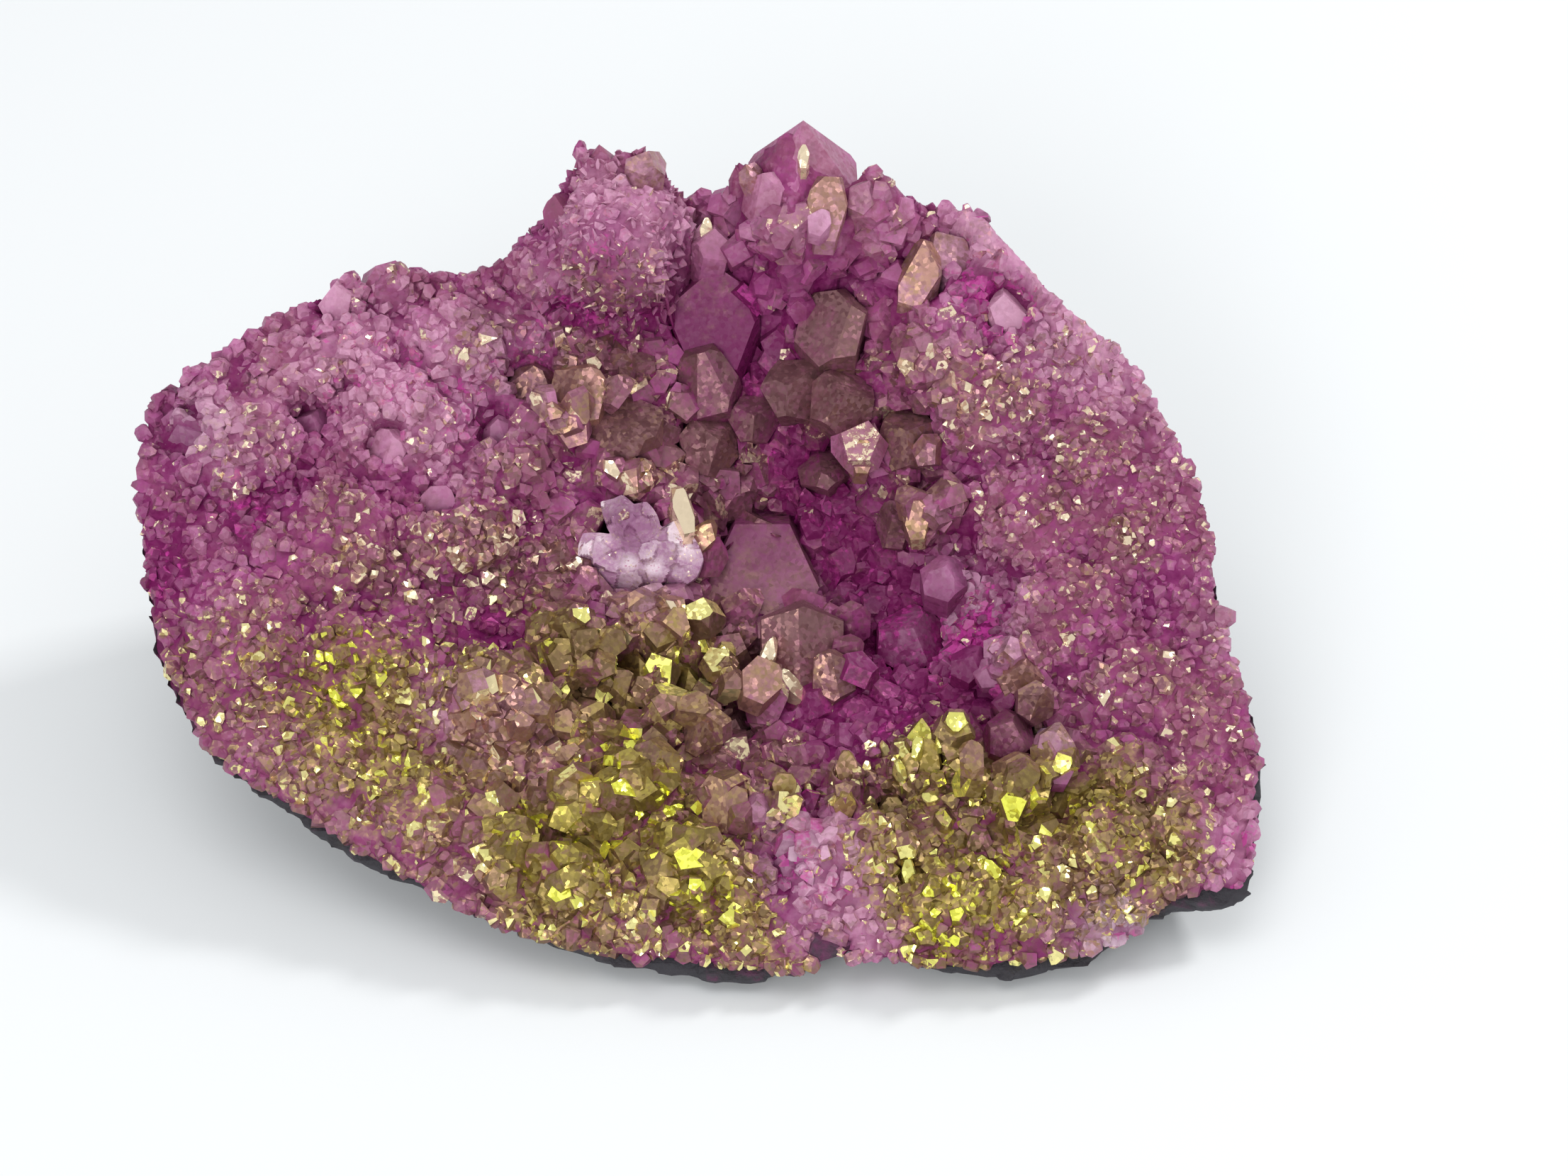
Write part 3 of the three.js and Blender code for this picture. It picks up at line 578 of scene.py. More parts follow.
MAIN_FACES = {
    # how far out each tip face lies, from the main one round
    1: (-0.15, 0.35, 0.55, 0.6, 0.55, 0.35),
    2: (0.0, 0.4, 0.5, 0.5, 0.4, 0.0),
    3: (0.0, 0.35, 0.05, 0.4, 0.05, 0.35),
    6: (0, 0, 0, 0, 0, 0),
}
NARROW = {"flash": 0.45, "gold": 0.7, "salmon": 0.65}
DOWN, UP = 270, 90
BIG_CRYSTALS = [
    # u, v, lift, radius, lean along u and v, where its main face looks, number of main faces, look
    # the peaks along the top
    (7.2, 33.2, 0, 4.3, 0, 0.6, DOWN + 30, 6, "mauve"),
    (7.2, 30.2, 1.6, 0.85, 0, 0.4, DOWN, 1, "flash"),
    (9.1, 27.7, 0.6, 2.0, 0.1, 0.4, DOWN, 1, "salmon"),
    (8.4, 25.8, 1.6, 0.9, 0.1, 0.4, DOWN - 20, 1, "pink"),
    (13.3, 31.2, 0.8, 2.4, 0.3, 0.8, DOWN + 30, 6, "mauve"),
    (3.0, 30.4, 0.2, 1.0, -0.4, 0.6, 240, 3, "salmon"),
    (3.6, 29.0, 0.4, 1.8, -0.4, 0.4, 240, 2, "mauve"),
    (4.6, 27.2, 0.4, 1.5, -0.2, 0.3, DOWN, 2, "mauve"),
    (-4.0, 31.0, 0.6, 1.7, 0.15, 0.7, 240, 3, "tan"),
    (-7.6, 31.8, 0.8, 1.3, -0.1, 0.8, DOWN + 30, 6, "smoky"),
    (-10.8, 28.6, 0, 1.6, -0.4, 0.7, 240, 3, "smoky"),
    (-0.4, 27.6, 1.0, 1.7, -0.2, 0.5, DOWN, 3, "mauve"),
    (0.1, 27.3, 1.8, 0.9, 0, 0.4, DOWN, 1, "flash"),
    (1.0, 26.8, 1.0, 1.7, 0.2, 0.5, DOWN, 3, "mauve"),
    (0.5, 22.6, 2.2, 3.2, -0.05, 0.45, DOWN, 1, "plum"),
    (2.9, 20.2, 1.5, 1.9, 0.4, 0.4, DOWN, 1, "magenta"),
    (17.8, 26.0, 0.5, 1.7, -0.1, 0.4, DOWN + 40, 1, "tan"),
    (22.3, 22.0, 0.3, 1.7, 0.1, 0.4, DOWN, 3, "pink"),
    (15.9, 24.6, 0.5, 2.2, 0.1, 0.4, DOWN - 20, 1, "salmon"),
    # round the upper half of the hollow
    (-5.2, 12.4, 0, 2.8, 0.35, -0.3, 150, 2, "smoky"),
    (3.8, 14.1, 0, 1.8, 0.1, -0.2, 210, 3, "smoky"),
    (6.4, 15.8, 0, 2.3, -0.1, -0.1, UP, 3, "smoky"),
    (10.3, 14.8, 0, 2.5, 0.1, -0.1, 60, 3, "smoky"),
    (8.4, 10.9, 0, 2.0, -0.1, -0.1, 100, 2, "smoky"),
    (11.6, 10.9, 0, 1.1, 0.1, 0.2, DOWN, 1, "gold"),
    (-0.6, 16.8, 0, 2.4, -0.2, 0.1, DOWN - 20, 2, "plum"),
    (0.9, 12, 0, 2.5, 0.2, -0.3, 80, 3, "smoky"),
    (14.8, 12.4, 0, 2.4, 0, 0, UP, 3, "olive"),
    (9.2, 21.0, 0.3, 2.8, 0, 0.3, 250, 2, "smoky"),
    # inside the hollow
    (-1.3, 6.9, 2.0, 1.6, 0.1, 0.4, DOWN + 20, 1, "flash"),
    (0.4, 5.4, 1.2, 1.1, 0.3, 0.3, DOWN - 30, 1, "gold"),
    (4.2, -0.4, 3.2, 3.7, 0, -0.9, UP, 1, "grey"),
    (4.6, 6.6, 1.8, 3.1, 0.1, 0.2, DOWN + 10, 2, "smoky"),
    (7.3, -1.9, 0.4, 3.2, 0.05, 0.35, DOWN, 2, "smoky"),
    (4.6, -6.2, 0, 1.4, 0.3, 0.4, DOWN - 20, 1, "tan"),
    (4.8, -3.7, 2.4, 1.2, 0.1, 0.4, DOWN - 20, 1, "flash"),
    (6.4, -5.8, 2.8, 1.2, 0, 0.4, DOWN + 55, 1, "flash"),
    (9.6, -5.6, 0, 1.6, 0.1, 0.1, DOWN, 2, "tan"),
    (15.2, 6.4, 0.8, 1.3, -0.1, 0.3, DOWN, 1, "gold"),
    (13.2, 6.2, 0, 1.6, -0.3, -0.1, 230, 2, "olive"),
    (18.2, 7.4, 0, 1.1, 0.1, 0.3, 240, 2, "smoky"),
    (17.3, 1.9, 0, 1.7, 0, 0.2, DOWN - 20, 3, "clear"),
    (15.2, -2.2, 0, 2.5, 0.1, 0, 240, 3, "violet"),
    (18.9, -5.4, 0, 1.4, 0, 0.2, 240, 3, "clear"),
    (10.8, -1.6, 0, 1.5, 0.1, -0.2, DOWN, 2, "olive"),
    (10.6, -3.9, 0, 1.1, 0.2, -0.1, 200, 2, "olive"),
    (22.4, -7.2, 0, 1.5, 0, 0.1, DOWN, 1, "tan"),
    (23.5, -9.8, 0, 1.4, 0.1, -0.2, DOWN, 2, "olive"),
    # on the shelf below the hollow
    (21.5, -14.4, 0, 1.5, -0.15, 0.35, DOWN, 2, "tan"),
    (17.4, -10.9, 1.6, 0.8, -0.1, 1.2, DOWN, 2, "gold"),
    (18.6, -13.6, 0, 0.9, -0.05, 0.6, DOWN, 2, "tan"),
    (22.1, -11, 0, 1.9, 0.2, 0.2, 250, 3, "magenta"),
    (24.5, -11.0, 0, 0.9, 0.1, 0.4, DOWN, 2, "lilac"),
    (24.8, -12.8, 0, 0.9, 0.1, 0.3, DOWN, 2, "violet"),
    (25, -14.6, 0, 0.9, 0.15, 0.2, DOWN, 3, "violet"),
    (-2.4, -9.3, 0, 1.5, -0.2, 0.3, 240, 1, "gold"),
    (-0.1, -11.4, 0, 1.3, 0.1, -0.1, 210, 2, "olive"),
    (1.5, -15.6, 0, 1.8, -0.1, 0.5, DOWN, 2, "tan"),
    (6, -14.8, 0, 1.1, 0.2, 0.3, DOWN, 1, "gold"),
    (6.4, -17, 0, 1.0, 0.3, 0, 240, 1, "gold"),
    (3.8, -16.6, 0, 1.1, -0.1, 0.2, DOWN, 3, "violet"),
    (15.4, -11.0, 0, 1.2, 0.1, 0.4, DOWN, 1, "gold"),
    (14.2, -13.2, 0, 1.2, -0.1, 0.4, 240, 2, "gold"),
    (10.3, -13.4, 0, 1.0, 0.1, 0.2, DOWN, 1, "gold"),
    (10.1, -17.1, 0, 1.0, 0.1, -0.2, DOWN, 1, "gold"),
    (-4.2, -14.6, 0, 1.3, 0.1, 0.2, 230, 3, "olive"),
    (-8.4, -4.2, 0, 1.4, 0.1, 0.1, 250, 2, "olive"),
    (-8, -7.5, 0, 1.0, 0.1, 0.1, 230, 2, "olive"),
    (-5.5, -8.2, 0, 1.3, 0, 0.2, DOWN, 1, "gold"),
    (-5.0, -4.6, 0, 1.4, 0.1, 0.3, 250, 2, "gold"),
    (-1.0, -5.6, 0, 1.4, 0.1, 0.3, 240, 2, "gold"),
    (1.4, -3.8, 0.8, 1.6, 0.1, 0.5, DOWN, 1, "gold"),
    (2.4, -8.9, 0, 1.5, 0.2, 0.2, 250, 3, "smoky"),
    (13.2, -16.3, 0, 1.3, 0, 0.3, DOWN, 1, "gold"),
    (15.8, -12.8, 0, 1.3, 0, 0.4, DOWN, 1, "gold"),
    # knobs along the left rim
    (-23.5, 24.4, 0, 2, -0.1, 0.6, 240, 3, "mauve"),
    (-27.1, 21.9, 0, 1.5, -0.3, 0.4, DOWN, 3, "mauve"),
    (-37.3, 15.8, 0, 1.9, -0.5, 0.4, DOWN, 3, "mauve"),
    (-38, 11.4, 0, 2.2, -0.6, 0.1, DOWN, 3, "violet"),
    # clear facets on the left wall
    (-12.4, 16.6, 0, 1.8, 0.2, 0.3, 240, 1, "tan"),
    (-9.4, 15.4, 0.3, 2.1, -0.1, 0.2, 250, 2, "tan"),
    (-15.2, 12.6, 0, 1.4, -0.2, 0.3, DOWN, 1, "mauve"),
    (-22.6, 10.6, 0, 1.5, 0.1, 0.3, 240, 2, "mauve"),
    (-19.2, 6.8, 0, 1.4, -0.1, 0.3, DOWN, 1, "mauve"),
    (-28.3, 12.6, 0, 1.4, 0, 0.2, 240, 3, "violet"),
    # bright facets among the gold ones, painted as glints
    (14.4, -21.2, 1.2, 1.0, 0, 0.4, DOWN + 10, 1, "flash"),
    (13.0, -11.4, 0.6, 0.6, 0.1, 0.5, DOWN + 25, 1, "flash"),
    (15.0, -12.2, 0.6, 0.7, -0.1, 0.4, DOWN - 25, 1, "flash"),
    (16.6, -11.8, 0.6, 0.5, 0, 0.5, DOWN, 1, "flash"),
    (14.0, -13.8, 0.6, 0.6, 0.1, 0.4, DOWN + 40, 1, "flash"),
    (11.6, -13.0, 0.6, 0.6, 0, 0.4, DOWN - 10, 1, "flash"),
    (7.6, -14.6, 0.6, 0.7, 0, 0.5, DOWN + 15, 1, "flash"),
]
ENCLOSE = 1.2  # wider than the smoothed CAD crystal inside
SKY_LEVEL = 40  # mm above the face, where the rays start
PEAKS_FROM, WALLS_FROM = 31, 8  # v, from which the peaks and the upper walls begin


def crust_level(u, v):
    """How high the CAD crust stands at a point of the face, or None beyond its edge."""
    start, down = Vector(to_world((u, v, SKY_LEVEL))), Vector(-FACE_AXES[2])
    place = crust_tree.ray_cast(start, down)[0]
    return None if place is None else to_face(place)[2]


def sunk_share(v):
    """How deep a tip is set into the crust, as a share of its radius."""
    if v > PEAKS_FROM:
        return 0
    return 0.15 if v > WALLS_FROM else 0.3


rng = np.random.default_rng(7)
crystal_parts = []
large_list = []  # tip, direction and radius of each
for u, v, lift, radius, lean_u, lean_v, facing, faces, look in BIG_CRYSTALS:
    aim = Vector((lean_u, lean_v, 1)).normalized()
    level = crust_level(u, v)
    if level is None:  # the tip hangs over the edge, so the crust behind it counts
        level = crust_level(u - 0.5 * lean_u, v - 0.5 * lean_v)
    even = faces == 6
    cuts = [out + (0 if even else rng.uniform(-0.15, 0.2)) for out in MAIN_FACES[faces]]
    squeeze = NARROW.get(look, rng.uniform(0.85, 1.0))
    slopes = (46, 52) if even else (34, 50)
    form = quartz(ENCLOSE * radius, 2.2 * radius, cuts, rng, squeeze=squeeze, slopes=slopes)
    ridge_turn = 30 if faces == 2 else 0
    tip = Vector((u, v, level + lift)) - sunk_share(v) * radius * aim
    place = Matrix.Translation(tip) @ axis_frame(aim, math.radians(facing + ridge_turn))
    bmesh.ops.transform(form, matrix=place, verts=form.verts)
    crystal_parts.append((form, tip, aim, radius, look))
    large_list.append((*tip, *aim, radius))

# The broken crystal has its own step below, but takes up room like the others.
BREAK_MIDDLE = (-4.6, 4.2)
BREAK_RADIUS = 3.3
break_height = crust_level(*BREAK_MIDDLE) + 1.0
large_list.append((*BREAK_MIDDLE, break_height - 0.6, 0, -0.29, 0.957, BREAK_RADIUS))
large_rows = np.array(large_list)
print("large crystals:", len(crystal_parts))

# %% [markdown]
# ## Grain on the body
#
# The body is pressed down under each large crystal, so that the smoothed CAD crystal doesn't show
# through the new one's faces. Then fractal noise moves every vertex a little along its normal, and the
# colour maps are stored on it. The rise of a point says how far it is from a crystal's root, which is
# darker than its tip: deeper dye and painted shade, where crystals shade each other. The body counts as
# root, so it takes that painted shade, apart from the bare band where the rim broke smooth.

# %% Grain on the crust's body
GRAIN = 0.22 * MM
GRAIN_SCALE = 900  # lumps to the metre
BODY_SINK = 0.1 * MM
RIM_ABOVE, RIM_BESIDE = 27, 30  # v above which, and u beyond which, the crust is thin


def along_and_away(points, row):
    """How far points lie below a crystal's tip along its axis, and how far off that axis."""
    tip, aim = row[:3], row[3:6]
    depth = (tip - points) @ aim
    return depth, np.linalg.norm(points - tip + depth[:, None] * aim, axis=1)


def sunk_under(points, rows):
    """How far to press points down under a crystal's tip faces, but only a little at the thin rim."""
    press = np.zeros(points.shape)
    for row in rows:
        tip, aim, radius = row[:3], row[3:6], row[6]
        at_rim = tip[1] > RIM_ABOVE or abs(tip[0]) > RIM_BESIDE
        most = 1.0 if at_rim else 2 * radius
        depth, away = along_and_away(points, row)
        share = smooth_step(away, 1.15 * radius, 0.85 * radius)
        press += (np.clip(1.6 * radius - depth, 0, most) * share)[:, None] * aim
    return press


body_face -= sunk_under(body_face, large_rows)
body_points = to_world(body_face)
grain = np.array([noise.fractal(GRAIN_SCALE * Vector(p), 1.0, 2.0, 3) for p in body_points])
move_points(crust_body, body_points + (GRAIN * grain - BODY_SINK)[:, None] * normals_of(crust_body))
for map_name, values in colour_maps(body_face).items():
    store(crust_body, map_name, values)
store(crust_body, "tone", 0.5 + 0.5 * grain)
bare = np.clip(spots(body_face, BARE_RIM), 0, 1)
# the body counts as root, darker with painted shade, apart from the bare band
store(crust_body, "rise", np.clip(0.1 + 0.3 * grain + 0.8 * bare, 0, 1))
print("grain from", grain.min().round(2), "to", grain.max().round(2))

# %% [markdown]
# ## Many crystals in one mesh
#
# Thousands of separate objects would be slow and heavy, so crystals are joined. A few shapes are cut
# with the same tool as the large ones, read out as arrays, and copied to every place with their own
# size, direction and colour values. Each joined piece stays under 200,000 triangles.


# %% Copy shapes into one mesh
class Shape:
    """One cut crystal as arrays: its points, the corners of its faces and where each face starts.

    Its facets are one number a face, which the shader reads, or None where every copy draws its own.
    """

    def __init__(self, form):
        mesh = bpy.data.meshes.new("shape")
        form.to_mesh(mesh)
        form.free()
        self.points = points_of(mesh)
        self.facets = None
        self.corners = whole_numbers(mesh.loops, "vertex_index")
        self.starts = whole_numbers(mesh.polygons, "loop_start")
        bpy.data.meshes.remove(mesh)


def joined(name, groups, seed, brightest=1.0):
    """One mesh from groups of (shape, points of every copy, values of every point)."""
    rng = np.random.default_rng(seed)
    points, corners, starts, facets, values = [], [], [], [], []
    point_count = corner_count = 0
    for shape, placed, told in groups:
        copies, size = placed.shape[:2]
        shift = point_count + size * np.arange(copies)[:, None]
        corners.append((shape.corners[None] + shift).ravel())
        loops = len(shape.corners)
        shift = corner_count + loops * np.arange(copies)[:, None]
        starts.append((shape.starts[None] + shift).ravel())
        points.append(placed.reshape(-1, 3))
        drawn = brightest * rng.random(copies * len(shape.starts))
        facets.append(drawn if shape.facets is None else shape.facets)
        values.append({key: np.broadcast_to(told[key], (copies, size)).ravel() for key in told})
        point_count += copies * size
        corner_count += copies * loops
    mesh = bpy.data.meshes.new(name)
    points, corners, starts = (np.concatenate(x) for x in (points, corners, starts))
    mesh.vertices.add(len(points))
    mesh.loops.add(len(corners))
    mesh.polygons.add(len(starts))
    mesh.vertices.foreach_set("co", to_world(points).astype(np.float32).ravel())
    mesh.loops.foreach_set("vertex_index", corners.astype(np.int32))
    mesh.polygons.foreach_set("loop_start", starts.astype(np.int32))
    mesh.update(calc_edges=True)
    mesh.shade_flat()
    for key in values[0]:
        store(mesh, key, np.concatenate([told[key] for told in values]))
    store(mesh, "facet", np.concatenate(facets), "FACE")
    print(name, len(starts), "faces,", len(corners) - 2 * len(starts), "triangles")
    return link(name, mesh)


# %% Join the large crystals
groups = []
for form, tip, aim, radius, look in crystal_parts:
    shape = Shape(form)
    told = colour_maps(np.array([tip]))
    added = dict(zip(("film", "green", "dye", "pale", "lilac"), LOOKS[look]))
    brightness = LOOKS[look][-1]
    # a look's brightness raises its facet values, and the highest of them get painted glints in the finish
    shape.facets = brightness + rng.uniform(-0.3, 0.05, len(shape.starts))
    told = {key: np.clip(told[key] + added[key], 0, 1)[:, None] for key in told}
    depth = (np.array(tip) - shape.points) @ np.array(aim)
    # rise is 0 at the root, which the finish darkens with painted shade, and 1 at the tip
    told["rise"] = np.clip(1.05 - depth / (1.9 * radius), 0, 1)[None]
    told["tone"] = np.array([[rng.uniform(0.35, 0.65)]])
    groups.append((shape, shape.points[None], told))
large_crystals = joined("large_crystals", groups, 1)

# %% [markdown]
# ## The broken crystal
#
# One large crystal on the left side of the hollow lost its tip. Under the dyed skin the quartz is clear
# and pale lilac, and it broke into a shallow bowl with a jagged, faceted edge. A stretched icosphere is
# cut off at a broken level: each cell of a Voronoi pattern is one small plane with its own tilt. Its
# outline follows the ragged edge, and some cells and four small spots are painted white, as glints where
# the light is caught under the surface. A simulated fracture would break at random, and this edge has a
# known shape.

# %% Broken crystal
BREAK_DEPTH = 3.2
BOWL_AT = np.array((-0.7, 1.5))
BREAK_TOP, BOWL_DEPTH, TILT = 0.9, 2.2, 1.1  # its rim, its bowl, and how far its facets tilt
FRONT_FROM, FRONT_FALL = -1.2, 0.45  # where its front begins to fall away, and how fast
CELLS = 0.65  # facets of the break to the millimetre
RAGGED_EDGE = [
    # angle in degrees and distance in mm of the jagged edge
    (-180, 4.4), (-171, 4.5), (-154, 4.6), (-132, 4.2), (-93, 3.5), (-51, 4), (-29, 4.7), (-12, 4.7),
    (4, 4.1), (20, 3.5), (33, 3.5), (39, 2.1), (47, 2.1), (66, 2.7), (81, 3.2), (99, 3.1), (109, 3.9),
    (120, 3.9), (132, 4.2), (145, 3.1), (158, 2.3), (168, 4.2), (180, 4.4),
]
WHITE_GLINT_SPOTS = [
    # u, v, reach and strength of each painted white glint
    (-0.8, -1.3, 0.5, 1.4), (1, -1.5, 0.6, 1.4), (3.3, -0.2, 0.6, 1.4), (-2.6, 0.6, 0.4, 0.8),
]
break_axes = np.array(axis_frame(Vector((0, -0.3, 1)).normalized(), 0).to_3x3())


def broken_level(x, y):
    """The height of the break at a place on it, and the chance number of its cell."""
    cell = noise.voronoi(Vector((CELLS * x, CELLS * y, 0)))[1][0]
    chance = noise.cell_vector(41.3 * cell)  # three numbers that are the same all over one cell
    middle = np.array((cell.x, cell.y)) / CELLS
    bowl = math.exp(-float((x - BOWL_AT[0]) ** 2 + (y - BOWL_AT[1]) ** 2) / 3.4)
    flat = math.exp(-float(np.sum((middle - BOWL_AT) ** 2)) / 2.4)  # the bowl itself has no facets
    facet = (chance.x - 0.5) * (x - middle[0]) + (chance.y - 0.5) * (y - middle[1])
    facet += 0.7 * (chance.z - 0.5)
    front_slope = FRONT_FALL * max(0, FRONT_FROM - y) ** 2
    level = BREAK_TOP - BOWL_DEPTH * bowl + TILT * (1 - flat) * facet - front_slope
    return level, chance.z * (1 - flat)


broken_form = bmesh.new()
bmesh.ops.create_icosphere(broken_form, subdivisions=6, radius=1)
edge_angles, edge_reach = np.array(RAGGED_EDGE).T
broken_tones = []
for vertex in broken_form.verts:
    out = min(math.hypot(vertex.co.x, vertex.co.y) * 1.15, 1)  # so that the sides stand upright
    angle = math.atan2(vertex.co.y, vertex.co.x)
    reach = out * np.interp(math.degrees(angle), edge_angles, edge_reach)
    x, y = reach * math.cos(angle), reach * math.sin(angle)
    level, chance = broken_level(x, y)
    vertex.co = (x, y, min(BREAK_DEPTH * vertex.co.z, level))
    broken_tones.append(chance)
broken_shape = Shape(broken_form)
broken_points = broken_shape.points @ break_axes.T + np.array((*BREAK_MIDDLE, break_height))
broken_tones = np.array(broken_tones)
broken_told = {key: values[None] for key, values in colour_maps(broken_points).items()}
bowl_shade = spots(broken_shape.points, [(*BOWL_AT, 1.2, 0.3)])
front_dye = 0.35 * smooth_step(broken_shape.points[:, 1], -0.9, -3.2)
# chance cells and four spots painted white, as glints
white_glints = smooth_step(broken_tones, 0.6, 0.9) + spots(broken_shape.points, WHITE_GLINT_SPOTS)
broken_told.update(
    film=np.zeros((1, 1)),
    dye=(0.02 + bowl_shade + front_dye)[None],
    pale=np.clip(white_glints, 0, 1.4)[None],
    lilac=np.ones((1, 1)),
    tone=broken_tones[None],
    # its lower sides count as root, darker with painted shade
    rise=smooth_step(broken_shape.points[:, 2], -2.5, -0.8)[None],
)
broken_crystal = joined("broken_crystal", [(broken_shape, broken_points[None], broken_told)], 2)

# %% [markdown]
# ## Where small crystals can stand
#
# Small crystals grow on the crust's body wherever it is open to the hollow, but not inside a large
# crystal, over the broken one, or on the bare band where the rim broke smooth. The body's own faces are
# the candidates. They are taken in a random order, and each one taken blocks its neighbours within the
# spacing, which gives an even but irregular coat. Scattered points without that rule would leave bald
# spots and heaps.

# %% Candidates on the open side of the crust
NOTCH_AT, NOTCH_HALF = 6, 6  # u of the notch in the lower rim, and half its width
DEEP, SHALLOW = -5, -1.5  # how far down the outside the coat reaches, in the notch and beside it
BARE_FROM = 0.75
centres = to_face(triples(crust_body.polygons, "center"))
face_normals = triples(crust_body.polygons, "normal") @ FACE_AXES.T
in_notch = np.abs(centres[:, 0] - NOTCH_AT) < NOTCH_HALF
near_rim = (centres[:, 2] > np.where(in_notch, DEEP, SHALLOW)) & (face_normals[:, 2] > -0.55)
is_open = near_rim | (face_normals[:, 2] > 0.1)


def inside_crystals(points, rows, margin=0.95, clearance=0.0):
    """Which points lie in or too near any crystal, from rows of tip, direction and radius."""
    found = np.zeros(len(points), bool)
    for row in rows:
        radius = row[6]
        depth, away = along_and_away(points, row)
        allowed = margin * radius * np.clip(depth / (1.1 * radius) + 0.25, 0, 1) + clearance
        found |= (away < allowed) & (depth < 3 * radius) & (depth > -0.5 * radius)
    return found


free = is_open & ~inside_crystals(centres, large_rows, 1.08)
free &= ~inside_crystals(centres, large_rows[:1], 1.3)  # the highest peak stands clear
free &= spots(centres, BARE_RIM) < BARE_FROM
across, up = (centres[:, :2] - BREAK_MIDDLE).T
edge_there = np.interp(np.degrees(np.arctan2(up, across)), edge_angles, edge_reach)
free &= np.hypot(across, up) > 0.85 * edge_there
print("candidates:", int(free.sum()), "of", len(centres))


def spread_out(points, spacing, seed):
    """Indices of points that keep their own spacing from each other."""
    tree = KDTree(len(points))
    for index, point in enumerate(points):
        tree.insert(point, index)
    tree.balance()
    blocked = np.zeros(len(points), bool)
    chosen = []
    for index in np.random.default_rng(seed).permutation(len(points)):
        if not blocked[index] and spacing[index] > 0:
            chosen.append(index)
            for _, near, _ in tree.find_range(points[index], spacing[index]):
                blocked[near] = True
    return np.array(chosen)


# %% [markdown]
# ## Medium crystals and fine druse
#
# The growths round the hollow and below it carry crystals of one to three millimetres. The walls and
# the round growth at the top left carry a much finer coat. A map of coarseness, in the same form as
# the colour maps, sets the spacing, and the spacing sets the size. Blocky crystals that grow into each
# other come first, pointed ones stand between them, and fine druse fills what is left. The round growth
# bristles with thin blades instead.

# %% Coarseness map and the cut shapes
COARSE_SPOTS = [
    (14, -12.5, 4, -0.5), (-4, 12, 7, 0.5), (9, 16, 7, 0.6), (6, 30, 7, 0.5), (4, 0, 9, 0.5),
    (-8, -14, 10, 0.35), (14, 8, 5, 0.4), (20, -12, 7, 0.4), (-6.3, 26, 5, -0.5), (26, 6, 8, -0.3),
    (5, -12, 7, 0.3),
]


def coarseness(points):
    return np.clip(0.3 + spots(points, COARSE_SPOTS), 0, 1)


def in_valley(points):
    """Whether points lie in the deep dyed valleys, which carry only fine grains."""
    return spots(points, VALLEYS) > 0.75


UNIT_ROOT = 1.1


def unit_shapes(count, uneven, squeezes, slopes=(48, 55)):
    """Crystals with a radius of 1 mm, to be copied."""
    rng = np.random.default_rng(count)
    shapes = []
    for cuts in [uneven_cuts(uneven, rng) for _ in range(count)]:
        form = quartz(1, UNIT_ROOT, cuts, rng, squeeze=rng.uniform(*squeezes), slopes=slopes)
        shapes.append(Shape(form))
    return shapes


POINTED = unit_shapes(8, 0.5, (0.7, 1))
BLADED = unit_shapes(4, 0.4, (0.3, 0.45))
SUGARY = unit_shapes(9, 0.9, (0.6, 1), slopes=(22, 62))
BLOCKY = unit_shapes(10, 0.6, (0.7, 1), slopes=(30, 50))
print("faces of one crystal:", [len(shape.starts) for shape in POINTED])


def coat(name, points, normals, radius, shapes, seed, stand, wobble=0.4, brightest=1.0):
    """A joined coat of crystals, one at each face point, and the rows that tell where they are.

    Each stands out by its share of its radius, and wobbles off the point's normal.
    """
    rng = np.random.default_rng(seed)
    count = len(points)
    aim = normals + wobble * rng.normal(size=(count, 3))
    aim /= np.linalg.norm(aim, axis=1)[:, None]
    side = np.cross(aim, rng.normal(size=(count, 3)))
    side /= np.linalg.norm(side, axis=1)[:, None]
    axes = np.stack((side, np.cross(aim, side), aim), axis=1)
    tips = points + (stand * radius)[:, None] * aim
    told = colour_maps(points)
    told["tone"] = rng.random(count)
    kinds = rng.integers(0, len(shapes), count)
    groups = []
    for kind, shape in enumerate(shapes):
        mine = kinds == kind
        local = shape.points[None] * radius[mine, None, None]
        placed = np.einsum("nij,njk->nik", local, axes[mine]) + tips[mine, None]
        values = {key: told[key][mine, None] for key in told}
        # rise from root to tip: the finish paints shade at the root
        values["rise"] = np.clip(1 + shape.points[None, :, 2] / (2 * UNIT_ROOT), 0, 1)
        groups.append((shape, placed, values))
    made = np.concatenate((tips, aim, radius[:, None]), axis=1)
    return joined(name, groups, seed, brightest), made


# %% Blocky crystals that grow into each other
COARSE_FROM = 0.48
PEAKS_ABOVE = 28.5  # v, above which only the large crystals are this big
open_points, open_normals = centres[free], face_normals[free]
coarse = coarseness(open_points)
clear = ~in_valley(open_points) & ~inside_crystals(open_points, large_rows, 1.15)
clear &= open_points[:, 1] < PEAKS_ABOVE
block_spacing = np.where((coarse > COARSE_FROM) & clear, 0.75 + coarse, 0)
chosen = spread_out(open_points, block_spacing, seed=15)
block_radius = block_spacing[chosen] * np.random.default_rng(16).uniform(0.85, 1.4, len(chosen))
blocky_crystals, block_rows = coat(
    "blocky_crystals",
    open_points[chosen],
    open_normals[chosen],
    block_radius,
    BLOCKY,
    seed=17,
    stand=0.38,
    wobble=0.35,
    brightest=0.93,
)

